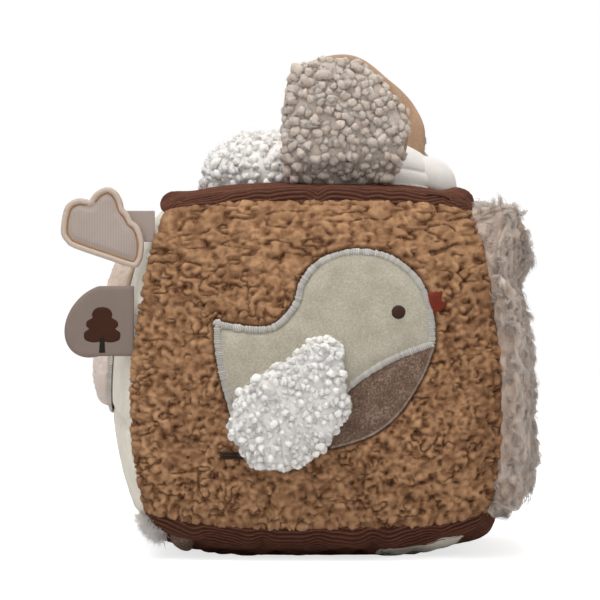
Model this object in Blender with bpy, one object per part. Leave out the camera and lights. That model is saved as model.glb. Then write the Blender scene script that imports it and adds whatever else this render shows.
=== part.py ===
# Soft fabric activity block: a stuffed cube of six different fabric panels. The front carries a bird
# patch with a loose wing, the top a stuffed animal head with two ears, the left side a padded
# mushroom, and two tags are sewn into the front left seam. A rattle sits in the middle of the filling.
# Metres, +Z up, +X to the right of the front panel, -Y out of it. The origin is the middle of the
# small flat that the block rests on.

import bpy
import bmesh
from math import cos, pi, radians, sin, sqrt
from mathutils import Vector

# Clearances
touch_gap = 0.0003              # between pieces that touch
filling_gap = 0.0007            # between the filling and the panels, which crowd it at the corners
mesh_merge = 0.00001            # vertices closer than this are one

# Block, measured at its seams
top_half_width = 0.0602
bottom_half_width = 0.0687
top_half_depth = 0.0610
bottom_half_depth = 0.0655
lower_seam_height = 0.0189      # of the bottom corners, above the floor
upper_seam_height = 0.1365
panel_thickness = 0.0023

# How far seams and panels swell with the filling
upright_seam_bow_x = 0.0055
upright_seam_bow_y = 0.0020
level_seam_bow = 0.0020
upper_seam_rise = 0.0010
lower_seam_sag = 0.0050
front_crown = 0.0075
back_crown = 0.0075
left_crown = 0.0095
right_crown = 0.0005
top_crown = 0.0070
bottom_crown = 0.0104           # a millimetre and a half past the floor, where it is cut flat
corner_round_share = 0.05       # how far the filling fails to reach into a corner

# Long pile of the right panel
fur_height = 0.0165
fur_overhang = 0.0115           # past the upper and upright seams
fur_overhang_below = 0.0055
fur_corner_share = 0.12         # how far the pile falls short over a corner

# Filling and rattle
rattle_radius = 0.0160
rattle_wall = 0.0015
rattle_straight = 0.0030        # of each half, beside the middle joint
rattle_height = 0.0780          # of the middle joint above the floor
ball_radius = 0.0060

# Patches on the front panel
patch_thickness = 0.0012
edging_width = 0.0026
edging_thickness = 0.0018
fine_edging_width = 0.0012
fine_edging_thickness = 0.0014
bird_width = 0.0845
bird_height = 0.0765
bird_middle_x = 0.0025
bird_middle_z = 0.0819
eye_radius = 0.0028
eye_rise = 0.0008
eye_x = 0.0305
eye_z = 0.0959
beak_length = 0.0080
beak_height = 0.0088
beak_x = 0.0456
beak_z = 0.1000
foot_length = 0.0073
foot_height = 0.0023
foot_x = -0.0331
foot_z = 0.0409
foot_thickness = 0.0008

# Wing flap over the bird
wing_width = 0.0472
wing_length = 0.0514
wing_root_x = 0.0042
wing_root_z = 0.0876
wing_backing_thickness = 0.0008
film_thickness = 0.0003
wing_pile_edge = 0.0030
wing_pile_rise = 0.0045
wing_root_setback = 0.0010      # of the hinge line below the top of the wing
wing_root_reach = 0.0060        # over which its pile thins out towards the hinge

# Stuffed head on the top panel
crown_middle_x = -0.0180
crown_half_length = 0.0300
crown_half_width = 0.0310
crown_edge = 0.0060
crown_rise = 0.0190
crown_wall = 0.0040
crown_rim = 0.0050
face_middle_x = 0.0125
face_half_length = 0.0370
face_half_width = 0.0290
face_edge = 0.0060
face_rise = 0.0135
muzzle_middle_x = 0.0455
muzzle_half_length = 0.0115
muzzle_half_width = 0.0150
muzzle_edge = 0.0055
muzzle_rise = 0.0085
head_edging_width = 0.0024
head_edging_thickness = 0.0014
head_eye_x = 0.0190
head_eye_spread = 0.0150
head_eye_length = 0.0050
head_eye_width = 0.0034
nose_length = 0.0036
nose_width = 0.0062
nose_x = 0.0500

# Ears
ear_width = 0.0500
ear_height = 0.0525
front_ear_x = 0.0110
rear_ear_x = 0.0210
ear_plane_y = 0.0390            # from the middle of the block, to the front and to the rear
ear_curl_edge = 0.0012
ear_curl_rise = 0.0080
ear_curl_wall = 0.0035
ear_curl_rim = 0.0060
ear_lining_edge = 0.0010
ear_lining_rise = 0.0020
ear_seat_gap = 0.0004
ear_root_rise = 0.0012          # of the fold line above the ear's lowest point
ear_root_reach = 0.0120         # over which the stuffing thins out towards the fold

# Cloud tag
cloud_width = 0.0320
cloud_height = 0.0312
cloud_middle_offset = 0.0201    # of its middle from the fold line at the seam
cloud_middle_z = 0.1284
cloud_cover_thickness = 0.0010
cloud_stitch_inset = 0.0022
cloud_stitch_width = 0.0007
cloud_stitch_thickness = 0.0004
ribbon_thickness = 0.0006
ribbon_height = 0.0120
ribbon_middle_z = 0.1290
ribbon_lap = 0.0100             # of the ribbon behind the cloud
tag_root_gap = 0.0009           # of a tag's root from the seam it is sewn into

# Rounded tag
tree_tag_length = 0.0268
tree_tag_height = 0.0270
tree_tag_droop = 0.0040          # of the middle of its round end
tree_tag_middle_z = 0.0924
tree_tag_ply = 0.0006

# Padded mushroom on the left panel
cap_half_width = 0.0400
cap_height = 0.0360
cap_base_z = 0.0975
cap_edge = 0.0020
cap_rise = 0.0055
stem_half_width = 0.0210
stem_height = 0.0360
stem_middle_z = 0.0755
mushroom_seat_gap = 0.0005      # wider than between flat pieces, because the panel slopes here
stem_edge = 0.0020
stem_rise = 0.0060

# Pieces under the block
base_patch_half_length = 0.0160
base_patch_half_width = 0.0095
base_patch_inset_x = 0.0277      # of its middle from the bottom's seam corner
base_patch_inset_y = 0.0155
base_patch_thickness = 0.0008
base_edging_thickness = 0.0010
tab_half_length = 0.0048
tab_half_width = 0.0070
tab_inset_x = 0.0157
tab_inset_y = 0.0130
tab_edge = 0.0015
tab_rise = 0.0030
tuft_half_length = 0.0050
tuft_half_width = 0.0065
tuft_inset_x = 0.0047
tuft_inset_y = 0.0115
tuft_edge = 0.0015
tuft_rise = 0.0045

# Ladder stitches that close the last seam, low at the back
thread_radius = 0.00035
stitch_pitch = 0.0040
stitch_reach = 0.0016           # of each stitch to either side of the seam
stitch_count = 8

# Counts
panel_cells = 10
solve_steps = 14
curve_steps = 3
dome_steps = 5
round_points = 28
small_round_points = 14
turned_points = 18
thread_bevel_steps = 1

# How far the rings of a pad stand from its middle, bottom first and then the dome
pad_base_shares = (0.5, 1.0)
pad_dome_shares = (1.0, 0.95, 0.82, 0.6, 0.32)
cup_dome_shares = (0.32, 0.6, 0.82, 0.95)
dome_power = 2.6
root_share = 0.15               # of its thickness that a stuffed flap keeps at its root
sheet_cell = 0.0100

# Outlines moved sideways
near_share = 0.97               # a moved point that is nearer its outline than this has crossed a corner
mitre_share = 0.5               # the least that a mitre narrows to, which keeps sharp points short

# Right panel, from its middle to its seam: reach along the panel, share of the overhang, of the pile
fur_shares = (
    (0.0, 0.0, 1.0), (0.34, 0.0, 1.0), (0.68, 0.0, 0.99), (0.95, 0.6, 0.92),
    (1.0, 1.0, 0.5), (1.0, 0.0, 0.0))

# Outlines, as shares of the width and height that they follow, from the middle
bird_body_shares = (
    (-0.496, 0.142), (-0.331, 0.113), (-0.227, 0.129), (-0.144, 0.228), (-0.114, 0.336),
    (-0.040, 0.436), (0.073, 0.490), (0.178, 0.500), (0.298, 0.469), (0.403, 0.386),
    (0.463, 0.286), (0.496, 0.146), (0.500, 0.013), (0.336, -0.053), (0.223, -0.119),
    (0.110, -0.210), (0.015, -0.345), (-0.015, -0.490), (-0.130, -0.500), (-0.290, -0.452),
    (-0.414, -0.343), (-0.444, -0.260), (-0.481, -0.110), (-0.500, 0.055))
bird_body_corners = (0, 12, 17)   # tail, and both ends of the belly's seam
belly_edge_shares = (
    (0.030, -0.497), (0.110, -0.475), (0.223, -0.426), (0.336, -0.326), (0.440, -0.152),
    (0.486, -0.030))
beak_shares = (
    (-0.50, 0.30), (0.26, 0.50), (0.06, 0.08), (0.50, -0.14), (0.20, -0.38), (-0.16, -0.50),
    (-0.46, -0.12))
wing_shares = (
    (0.0, 0.0), (-0.161, -0.03), (-0.29, -0.141), (-0.613, -0.326), (-0.75, -0.459),
    (-0.815, -0.722), (-0.734, -0.837), (-0.613, -0.985), (-0.29, -1.0), (-0.048, -0.863),
    (0.081, -0.689), (0.185, -0.541), (0.137, -0.396), (0.105, -0.089))
ear_shares = (
    (-0.46, 0.06), (-0.50, 0.32), (-0.49, 0.60), (-0.45, 0.82), (-0.34, 0.93), (-0.10, 1.0),
    (0.12, 0.97), (0.34, 0.80), (0.47, 0.60), (0.50, 0.42), (0.46, 0.22), (0.36, 0.06),
    (0.18, 0.01), (0.0, 0.0), (-0.22, 0.005), (-0.38, 0.02))
cloud_shares = (
    (-0.50, -0.05), (-0.461, 0.225), (-0.379, 0.328), (-0.268, 0.364), (-0.152, 0.342),
    (-0.09, 0.43), (-0.001, 0.487), (0.088, 0.50), (0.177, 0.445), (0.234, 0.344), (0.259, 0.239),
    (0.323, 0.17), (0.359, 0.087), (0.423, 0.038), (0.471, -0.05), (0.50, -0.179), (0.495, -0.307),
    (0.463, -0.427), (0.373, -0.494), (0.035, -0.386), (-0.34, -0.252), (-0.438, -0.179))
cloud_corners = (4, 10, 12)
cap_shares = (
    (-1.0, 0.10), (-0.93, 0.42), (-0.68, 0.76), (-0.34, 0.95), (0.0, 1.0), (0.34, 0.95),
    (0.68, 0.76), (0.93, 0.42), (1.0, 0.10), (0.88, 0.0), (0.45, 0.03), (0.0, 0.04),
    (-0.45, 0.03), (-0.88, 0.0))

# Colours, linear, and roughness
cream = (0.60, 0.56, 0.47)
white = (0.78, 0.75, 0.71)
tan_teddy = (0.36, 0.19, 0.095)
brown_cord = (0.135, 0.045, 0.022)
taupe = (0.17, 0.115, 0.085)
fur_grey = (0.42, 0.33, 0.27)
ear_grey = (0.46, 0.41, 0.37)
lining_tan = (0.55, 0.38, 0.25)
ribbon_taupe = (0.30, 0.23, 0.20)
thread_grey = (0.50, 0.48, 0.45)
dark_brown = (0.06, 0.018, 0.010)
beak_red = (0.30, 0.045, 0.012)
plastic_white = (0.72, 0.72, 0.70)
film_clear = (0.75, 0.77, 0.78)
fabric_roughness = 0.9
plastic_roughness = 0.4
crease_degrees = 50             # faces that meet more steeply are shaded sharp

# Faces of the block: which axis a panel faces along, and to which side
front_face = (1, -1)
back_face = (1, 1)
left_face = (0, -1)
right_face = (0, 1)
top_face = (2, 1)
bottom_face = (2, -1)


def hump(t, power=2):
    return 1 - abs(t) ** power


def span(low, high, t):
    return low + (high - low) * (t + 1) / 2


def side_reach(v, w, crown):
    reach = span(bottom_half_width, top_half_width, w) + upright_seam_bow_x * hump(w)
    return reach + (level_seam_bow + crown * hump(w)) * hump(v)


def end_reach(u, w, crown):
    reach = span(bottom_half_depth, top_half_depth, w) + upright_seam_bow_y * hump(w)
    return reach + (level_seam_bow + crown * hump(w)) * hump(u)


def top_level(u, v):
    rise = upper_seam_rise * (hump(u) + hump(v))
    return upper_seam_height + rise + top_crown * hump(u, 4) * hump(v, 4)


def bottom_level(u, v):
    sag = lower_seam_sag * (hump(u, 3) + hump(v, 3))
    return lower_seam_height - sag - bottom_crown * hump(u, 4) * hump(v, 4)


def warp(u, v, w):
    """Where a point of a plain cube from -1 to 1 lies in the stuffed block."""
    pull = 1 - corner_round_share * min(abs(u * v * w), 1) ** 3
    u, v, w = u * pull, v * pull, w * pull
    x = span(-side_reach(v, w, left_crown), side_reach(v, w, right_crown), u)
    y = span(-end_reach(u, w, front_crown), end_reach(u, w, back_crown), v)
    return Vector((x, y, span(bottom_level(u, v), top_level(u, v), w)))


def cube_point(face, a, b, level):
    axis, side = face
    place = [a, b]
    place.insert(axis, side * level)
    return place


def lie_on(face, point, lift):
    """The place on a panel above a flat point, lifted off the panel along its own axis."""
    axis, side = face
    first, second = (k for k in range(3) if k != axis)
    place = cube_point(face, 0.0, 0.0, 1.0)
    for _ in range(solve_steps):
        found = warp(*place)
        place[first] += (point[0] - found[first]) / bottom_half_width
        place[second] += (point[1] - found[second]) / bottom_half_width
    found = warp(*place)
    found[axis] += side * lift
    return found


def layer_on(face):
    return lambda point, lift: lie_on(face, point, lift)


def sized(shares, width, height, middle):
    return [Vector((middle[0] + p * width, middle[1] + q * height)) for p, q in shares]


def catmull(before, start, end, after, t):
    bend = (2 * before - 5 * start + 4 * end - after) * t * t
    twist = (3 * start - before - 3 * end + after) * t * t * t
    return (2 * start + (end - before) * t + bend + twist) / 2


def smooth_run(points, steps=curve_steps):
    """Points along an open smooth curve."""
    padded = [points[0]] + list(points) + [points[-1]]
    run = []
    for before, start, end, after in zip(padded, padded[1:], padded[2:], padded[3:]):
        run += [catmull(before, start, end, after, k / steps) for k in range(steps)]
    return run + [points[-1]]


def smooth_loop(points, corners=(), steps=curve_steps):
    """Points along a closed smooth curve that is sharp at the corners."""
    count = len(points)
    loop = []
    for i in range(count):
        before, start, end, after = (points[(i + k) % count] for k in (-1, 0, 1, 2))
        if i in corners:
            before = start
        if (i + 1) % count in corners:
            after = end
        loop += [catmull(before, start, end, after, k / steps) for k in range(steps)]
    return loop


def loop_area(loop):
    return sum(a.cross(b) for a, b in zip(loop, loop[1:] + loop[:1])) / 2


def segment_gap(point, start, end):
    run = end - start
    along = (point - start).dot(run) / max(run.length_squared, mesh_merge ** 2)
    return (point - start - run * min(max(along, 0), 1)).length


def loop_gap(point, loop, closed):
    ends = loop[1:] + loop[:1] if closed else loop[1:]
    return min(segment_gap(point, start, end) for start, end in zip(loop, ends))


def shifted(loop, distance, closed=True):
    """The loop moved sideways, outward when the distance is positive and the loop is closed."""
    count = len(loop)
    turn = 1 if not closed or loop_area(loop) > 0 else -1
    moved = []
    for i, point in enumerate(loop):
        before = loop[i - 1] if closed or i else point
        after = loop[(i + 1) % count] if closed or i + 1 < count else point
        normals = []
        for run in (point - before, after - point):
            if run.length > 0:
                normals.append(Vector((run.y, -run.x)).normalized() * turn)
        normal = sum(normals, Vector((0, 0))).normalized()
        moved.append(point + normal * distance / max(normal.dot(normals[0]), mitre_share))
    far = [loop_gap(point, loop, closed) > abs(distance) * near_share for point in moved]
    clear = [i for i in range(count) if far[i]]
    return [moved[min(clear, key=lambda k: abs(k - i))] for i in range(count)]


def oval(middle, half_length, half_width, count=round_points):
    turns = (2 * pi * k / count for k in range(count))
    around = ((half_length * cos(t), half_width * sin(t)) for t in turns)
    return [Vector((middle[0] + x, middle[1] + y)) for x, y in around]


def scaled_about(loop, middle, share):
    return [middle.lerp(point, share) for point in loop]


def middle_of(loop):
    return sum(loop, Vector((0, 0))) / len(loop)


def dome(share):
    return sqrt(max(0.0, hump(min(share, 1.0), dome_power)))


def pinched(place, low, root_height, reach):
    """The same layer, thinned out towards the height of a flap's root."""
    def at(point, lift):
        share = max(root_share, min(1, abs(point.y - root_height) / reach))
        return place(point, low + (lift - low) * share)
    return at


def material(name, colour, roughness=fabric_roughness):
    made = bpy.data.materials.get(name)
    if made is None:
        made = bpy.data.materials.new(name)
        made.use_nodes = True
        shader = made.node_tree.nodes["Principled BSDF"]
        shader.inputs["Base Color"].default_value = (*colour, 1.0)
        shader.inputs["Roughness"].default_value = roughness
        shader.inputs["Metallic"].default_value = 0.0
    return made


def pivot(name, place):
    empty = bpy.data.objects.new(name, None)
    bpy.context.collection.objects.link(empty)
    empty.location = place
    return empty


def piece(name, mesh, colour, carrier=None, roughness=fabric_roughness):
    """A named object, hung on its joint's empty where it moves."""
    bmesh.ops.remove_doubles(mesh, verts=mesh.verts[:], dist=mesh_merge)
    bmesh.ops.recalc_face_normals(mesh, faces=mesh.faces[:])
    if carrier:
        bmesh.ops.translate(mesh, verts=mesh.verts[:], vec=-carrier.location)
    data = bpy.data.meshes.new(name)
    mesh.to_mesh(data)
    mesh.free()
    data.shade_smooth()
    data.set_sharp_from_angle(angle=radians(crease_degrees))
    made = bpy.data.objects.new(name, data)
    bpy.context.collection.objects.link(made)
    made.parent = carrier
    data.materials.append(material(name, colour, roughness))
    return made


def cut(target, cutter):
    """Cut a guide solid out of an object."""
    cutter.hide_render = True
    cutter.display_type = "WIRE"
    difference = target.modifiers.new("cut " + cutter.name, "BOOLEAN")
    difference.operation = "DIFFERENCE"
    difference.object = cutter


def loft(rings, closed=False):
    """A solid through rings of equal counts; a ring of one point closes an end."""
    mesh = bmesh.new()
    rows = [[mesh.verts.new(point) for point in ring] for ring in rings]
    pairs = list(zip(rows, rows[1:]))
    if closed:
        pairs.append((rows[-1], rows[0]))
    for low, high in pairs:
        count = max(len(low), len(high))
        for i in range(count):
            j = (i + 1) % count
            if len(low) == 1:
                mesh.faces.new((low[0], high[i], high[j]))
            elif len(high) == 1:
                mesh.faces.new((low[i], low[j], high[0]))
            else:
                mesh.faces.new((low[i], low[j], high[j], high[i]))
    if not closed:
        for row in (rows[0], rows[-1]):
            if len(row) > 1:
                mesh.faces.new(row)
    return mesh


def stack(*layers):
    """A solid through square grids of points, each a function of two grid counts."""
    end = panel_cells
    mesh = bmesh.new()
    grids = [[[mesh.verts.new(at(i, j)) for j in range(end + 1)] for i in range(end + 1)] for at in layers]
    for grid in (grids[0], grids[-1]):
        for i in range(end):
            for j in range(end):
                mesh.faces.new((grid[i][j], grid[i + 1][j], grid[i + 1][j + 1], grid[i][j + 1]))
    rim = [(i, 0) for i in range(end)] + [(end, j) for j in range(end)]
    rim += [(i, end) for i in range(end, 0, -1)] + [(0, j) for j in range(end, 0, -1)]
    for low, high in zip(grids, grids[1:]):
        for (i, j), (k, m) in zip(rim, rim[1:] + rim[:1]):
            mesh.faces.new((low[i][j], low[k][m], high[k][m], high[i][j]))
    bmesh.ops.delete(mesh, geom=[vert for vert in mesh.verts if not vert.link_faces], context="VERTS")
    return mesh


def sheet(outline, place, low, high):
    """A thin patch with any outline that follows what it lies on."""
    flat = bmesh.new()
    pairs = zip(outline, outline[-1:] + outline[:-1])
    outline = [point for point, last in pairs if (point - last).length > 0]
    flat.faces.new([flat.verts.new((point.x, point.y, 0)) for point in outline])
    for axis in range(2):
        start = min(point[axis] for point in outline)
        end = max(point[axis] for point in outline)
        cuts = int((end - start) / sheet_cell)
        normal = Vector((axis == 0, axis == 1, 0))
        for k in range(cuts):
            everything = flat.verts[:] + flat.edges[:] + flat.faces[:]
            at = normal * (start + (end - start) * (k + 1) / (cuts + 1))
            bmesh.ops.bisect_plane(flat, geom=everything, plane_co=at, plane_no=normal)
    bmesh.ops.triangulate(flat, faces=flat.faces[:])
    flat.verts.index_update()
    mesh = bmesh.new()
    layers = []
    for lift in (low, high):
        layers.append([mesh.verts.new(place(vert.co.xy, lift)) for vert in flat.verts])
    for face in flat.faces:
        for layer in layers:
            mesh.faces.new([layer[vert.index] for vert in face.verts])
    for edge in flat.edges:
        if edge.is_boundary:
            a, b = (vert.index for vert in edge.verts)
            mesh.faces.new((layers[0][a], layers[0][b], layers[1][b], layers[1][a]))
    flat.free()
    return mesh


def band(outer, inner, place, low, high, closed=True):
    """A strip of stitching between two runs of equal counts."""
    rings = []
    for a, b in zip(outer, inner):
        rings.append([place(a, low), place(a, high), place(b, high), place(b, low)])
    return loft(rings, closed)


def pad(outline, place, low, edge, rise):
    """A stuffed pad: flat where it lies, an upright edge, and a dome over it."""
    middle = middle_of(outline)
    rings = [[place(middle, low)]]
    for share in pad_base_shares:
        rings.append([place(point, low) for point in scaled_about(outline, middle, share)])
    for share in pad_dome_shares:
        lift = low + edge + rise * dome(share)
        rings.append([place(point, lift) for point in scaled_about(outline, middle, share)])
    rings.append([place(middle, low + edge + rise)])
    return loft(rings)


def cup(outline, place, low, edge, rise, wall, rim):
    """The cover of a stuffed pad, hollow underneath."""
    middle = middle_of(outline)
    reach = sum((point - middle).length for point in outline) / len(outline)
    hollow = scaled_about(outline, middle, 1 - rim / reach)
    rings = [[place(middle, low + edge + rise - wall)]]
    for share in cup_dome_shares:
        lift = low + (edge + rise - wall) * dome(share)
        rings.append([place(point, lift) for point in scaled_about(hollow, middle, share)])
    rings.append([place(point, low) for point in hollow])
    rings.append([place(point, low) for point in outline])
    for share in pad_dome_shares:
        lift = low + edge + rise * dome(share)
        rings.append([place(point, lift) for point in scaled_about(outline, middle, share)])
    rings.append([place(middle, low + edge + rise)])
    return loft(rings)


def cup_filling(outline, place, low, edge, rise, wall, rim):
    """The batting that fills a cup's hollow."""
    middle = middle_of(outline)
    reach = sum((point - middle).length for point in outline) / len(outline)
    inner = scaled_about(outline, middle, 1 - (rim + 2 * touch_gap) / reach)
    return pad(inner, place, low, touch_gap, edge + rise - wall - 3 * touch_gap)


def turned(profile, middle):
    """A solid turned about an upright axis; profile points are radius and height, axis to axis."""
    rings = []
    for radius, height in profile:
        count = turned_points if radius > 0 else 1
        turns = (2 * pi * k / count for k in range(count))
        rings.append([middle + Vector((radius * cos(t), radius * sin(t), height)) for t in turns])
    return loft(rings)


def panel(name, face, colour, pile=False):
    """One face of the block, mitred along its seams."""
    seam_share = touch_gap / sqrt(2) / bottom_half_width
    depth_share = panel_thickness / bottom_half_width
    middle_reach = (side_reach(0, 0, left_crown) + side_reach(0, 0, right_crown)) / 2
    half = panel_cells // 2

    def outer(i, j):
        a, b = (i - half) / half, (j - half) / half
        reach, overhang, lift = 1.0, 0.0, 0.0
        size = max(abs(a), abs(b))
        if pile:
            reach, overhang, lift = fur_shares[round(size * half)]
            reach = reach / max(size, 1 / half)
        past = 0.0
        if overhang > 0:
            corner = fur_corner_share * (abs(a * b) / size ** 2) ** 3
            spill = fur_overhang_below if -b >= size else fur_overhang
            past = (spill / bottom_half_width - corner) * overhang / size
        level = 1 + lift * fur_height / middle_reach
        spread = reach * (1 - seam_share) + past
        point = warp(*cube_point(face, a * spread, b * spread, level))
        point.z = max(point.z, 0.0)
        return point

    def inner(i, j):
        a, b = (i - half) / half, (j - half) / half
        spread = 1 - depth_share - seam_share
        return warp(*cube_point(face, a * spread, b * spread, 1 - depth_share))

    return piece(name, stack(outer, inner), colour)


def make_panels():
    panel("front_panel", front_face, tan_teddy)
    panel("back_panel", back_face, cream)
    panel("left_panel", left_face, cream)
    panel("right_panel", right_face, fur_grey, pile=True)
    panel("top_panel", top_face, brown_cord)
    panel("bottom_panel", bottom_face, brown_cord)


def filling_half(name, side):
    """Half of the filling, from the middle of the block to one end."""
    reach = 1 - (panel_thickness + filling_gap) / bottom_half_width
    middle = touch_gap / bottom_half_width
    half = panel_cells // 2

    def layer(level):
        def at(i, j):
            return warp((i - half) / half * reach, (j - half) / half * reach, side * level)
        return at

    layers = [layer(middle + (reach - middle) * k / half) for k in range(half + 1)]
    return piece(name, stack(*layers), white)


def make_filling():
    lower = filling_half("filling_lower", -1)
    upper = filling_half("filling_upper", 1)
    hollow = turned(capsule_profile(rattle_radius + touch_gap), Vector((0, 0, rattle_height)))
    pocket = piece("rattle_pocket", hollow, white)
    cut(lower, pocket)
    cut(upper, pocket)


def dome_points(radius, side):
    """A quarter round from the axis out to full radius, shifted by the straight part."""
    turns = [pi / 2 * k / dome_steps for k in range(dome_steps + 1)]
    return [(radius * sin(t), side * (rattle_straight + radius * cos(t))) for t in turns]


def capsule_profile(radius):
    return dome_points(radius, -1) + dome_points(radius, 1)[::-1]


def rattle_half(name, side):
    joint = side * touch_gap / 2
    outside = dome_points(rattle_radius, side)
    inside = dome_points(rattle_radius - rattle_wall, side)
    rim = [(rattle_radius, joint), (rattle_radius - rattle_wall, joint)]
    shell = turned(outside + rim + inside[::-1], Vector((0, 0, rattle_height)))
    return piece(name, shell, plastic_white, roughness=plastic_roughness)


def make_rattle():
    rattle_half("rattle_shell_lower", -1)
    rattle_half("rattle_shell_upper", 1)
    floor = rattle_height - rattle_straight - (rattle_radius - rattle_wall)
    carrier = pivot("rattle_slide", Vector((0, 0, floor + touch_gap + ball_radius)))
    ball = bmesh.new()
    bmesh.ops.create_icosphere(ball, subdivisions=2, radius=ball_radius)
    bmesh.ops.translate(ball, verts=ball.verts[:], vec=carrier.location)
    piece("rattle_ball", ball, plastic_white, carrier, plastic_roughness)


def bird_points(shares):
    return sized(shares, bird_width, bird_height, (bird_middle_x, bird_middle_z))


def make_bird():
    place = layer_on(front_face)
    low = touch_gap
    body = smooth_loop(bird_points(bird_body_shares), bird_body_corners)
    strip = band(body, shifted(body, -edging_width), place, low, low + edging_thickness)
    piece("bird_body_edging", strip, thread_grey)
    body_field = shifted(body, -edging_width - touch_gap)
    piece("bird_body", sheet(body_field, place, low, low + patch_thickness), cream)

    edge = smooth_run(bird_points(belly_edge_shares))
    start, end = (corner * curve_steps for corner in bird_body_corners[1:])
    seam = shifted(body[start:end + 1], -touch_gap, closed=False)
    edge_inside = shifted(edge, -fine_edging_width, closed=False)
    field_edge = shifted(edge, -fine_edging_width - touch_gap, closed=False)
    strip = band(edge, edge_inside, place, low, low + fine_edging_thickness, closed=False)
    piece("bird_belly_edging", strip, taupe)
    piece("bird_belly", sheet(seam + field_edge, place, low, low + patch_thickness), taupe)

    eye = oval((eye_x, eye_z), eye_radius, eye_radius, small_round_points)
    eye_low = low + patch_thickness + touch_gap
    piece("bird_eye", pad(eye, place, eye_low, touch_gap, eye_rise), dark_brown)
    beak = sized(beak_shares, beak_length, beak_height, (beak_x, beak_z))
    beak_piece = piece("bird_beak", sheet(beak, place, low, low + edging_thickness), beak_red)
    body_room = sheet(shifted(body, touch_gap), place, -touch_gap, edging_thickness + 3 * touch_gap)
    cut(beak_piece, piece("body_room", body_room, white))
    foot = oval((foot_x, foot_z), foot_length / 2, foot_height / 2, small_round_points)
    piece("bird_foot", sheet(foot, place, low, low + foot_thickness), dark_brown)


def make_wing():
    place = layer_on(front_face)
    outline = smooth_loop(sized(wing_shares, wing_width, wing_length, (wing_root_x, wing_root_z)), steps=2)
    backing_low = 2 * touch_gap + edging_thickness
    film_low = backing_low + wing_backing_thickness + touch_gap
    pile_low = film_low + film_thickness + touch_gap
    hinge = place((wing_root_x, wing_root_z - wing_root_setback), backing_low + wing_backing_thickness)
    carrier = pivot("wing_lift", hinge)
    backing = sheet(outline, place, backing_low, backing_low + wing_backing_thickness)
    piece("wing_backing", backing, white, carrier)
    film = scaled_about(outline, middle_of(outline), 1 - edging_width / wing_width)
    piece("wing_film", sheet(film, place, film_low, film_low + film_thickness), film_clear, carrier)
    thinned = pinched(place, pile_low, wing_root_z, wing_root_reach)
    piece("wing_pile", pad(outline, thinned, pile_low, wing_pile_edge, wing_pile_rise), white, carrier)


def raised_layer(middle_x, half_length, half_width, edge, rise):
    """Places on the dome of an oval pad of the head, above the top panel."""
    def at(point, lift):
        reach = Vector(((point[0] - middle_x) / half_length, point[1] / half_width)).length
        return lie_on(top_face, point, touch_gap + edge + rise * dome(reach) + lift)
    return at


def make_head():
    place = layer_on(top_face)
    low = touch_gap
    crown = oval((crown_middle_x, 0), crown_half_length, crown_half_width)
    sizes = (crown_edge, crown_rise, crown_wall, crown_rim)
    piece("head_crown", cup(crown, place, low, *sizes), white)
    piece("head_batting", cup_filling(crown, place, low, *sizes), white)
    muzzle = oval((muzzle_middle_x, 0), muzzle_half_length, muzzle_half_width)
    piece("head_muzzle", pad(muzzle, place, low, muzzle_edge, muzzle_rise), cream)

    face_oval = oval((face_middle_x, 0), face_half_length, face_half_width)
    face = piece("head_face", pad(face_oval, place, low, face_edge, face_rise), cream)
    for name, outline, edge, rise in (("crown_room", crown, crown_edge, crown_rise + touch_gap),
                                      ("muzzle_room", muzzle, muzzle_edge, muzzle_rise)):
        room = pad(shifted(outline, touch_gap), place, -touch_gap, edge + 2 * touch_gap, rise)
        cut(face, piece(name, room, white))

    on_face = raised_layer(face_middle_x, face_half_length, face_half_width, face_edge, face_rise)
    for name, side in (("head_eye_front", -1), ("head_eye_rear", 1)):
        middle = (head_eye_x, side * head_eye_spread)
        eye = oval(middle, head_eye_length / 2, head_eye_width / 2, small_round_points)
        piece(name, pad(eye, on_face, touch_gap, touch_gap, eye_rise), dark_brown)
    on_muzzle = raised_layer(
        muzzle_middle_x, muzzle_half_length, muzzle_half_width, muzzle_edge, muzzle_rise)
    nose = oval((nose_x, 0), nose_length / 2, nose_width / 2, small_round_points)
    piece("head_nose", pad(nose, on_muzzle, touch_gap, touch_gap, eye_rise), dark_brown)

    ring = oval((face_middle_x, 0), face_half_length + touch_gap, face_half_width + touch_gap)
    half_turn = len(ring) // 2
    clear_of_crown = crown_middle_x + crown_half_length
    bare = [point for point in ring[half_turn:] + ring[:half_turn]
            if point.x > clear_of_crown and abs(point.y) > muzzle_half_width]
    for name, side in (("head_edging_front", -1), ("head_edging_rear", 1)):
        run = [point for point in bare if point.y * side > 0]
        away = shifted(run, head_edging_width, closed=False)
        strip = band(run, away, place, low, low + head_edging_thickness, closed=False)
        piece(name, strip, thread_grey)


def make_ear(name, side, middle_x):
    """A stuffed ear: curly cover outside, batting, and a smooth lining towards the head."""
    root = lie_on(top_face, (middle_x, side * ear_plane_y), ear_seat_gap)
    outline = smooth_loop(sized(ear_shares, ear_width, ear_height, (middle_x, root.z)), steps=2)
    carrier = pivot(name + "_fold", Vector((middle_x, root.y, root.z + ear_root_rise)))
    low = touch_gap / 2

    def outward(point, lift):
        return Vector((point.x, root.y + side * lift, point.y))

    def inward(point, lift):
        return Vector((point.x, root.y - side * lift, point.y))

    outside = pinched(outward, low, root.z, ear_root_reach)
    inside = pinched(inward, low, root.z, ear_root_reach)
    sizes = (ear_curl_edge, ear_curl_rise, ear_curl_wall, ear_curl_rim)
    piece(name + "_curl", cup(outline, outside, low, *sizes), ear_grey, carrier)
    piece(name + "_batting", cup_filling(outline, outside, low, *sizes), white, carrier)
    piece(name + "_lining", pad(outline, inside, low, ear_lining_edge, ear_lining_rise), lining_tan, carrier)


def seam_place(height):
    """Where the front left seam is at a height."""
    w = 0.0
    for _ in range(solve_steps):
        w += (height - warp(-1, -1, w).z) / bottom_half_width
    return warp(-1, -1, w)


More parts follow.
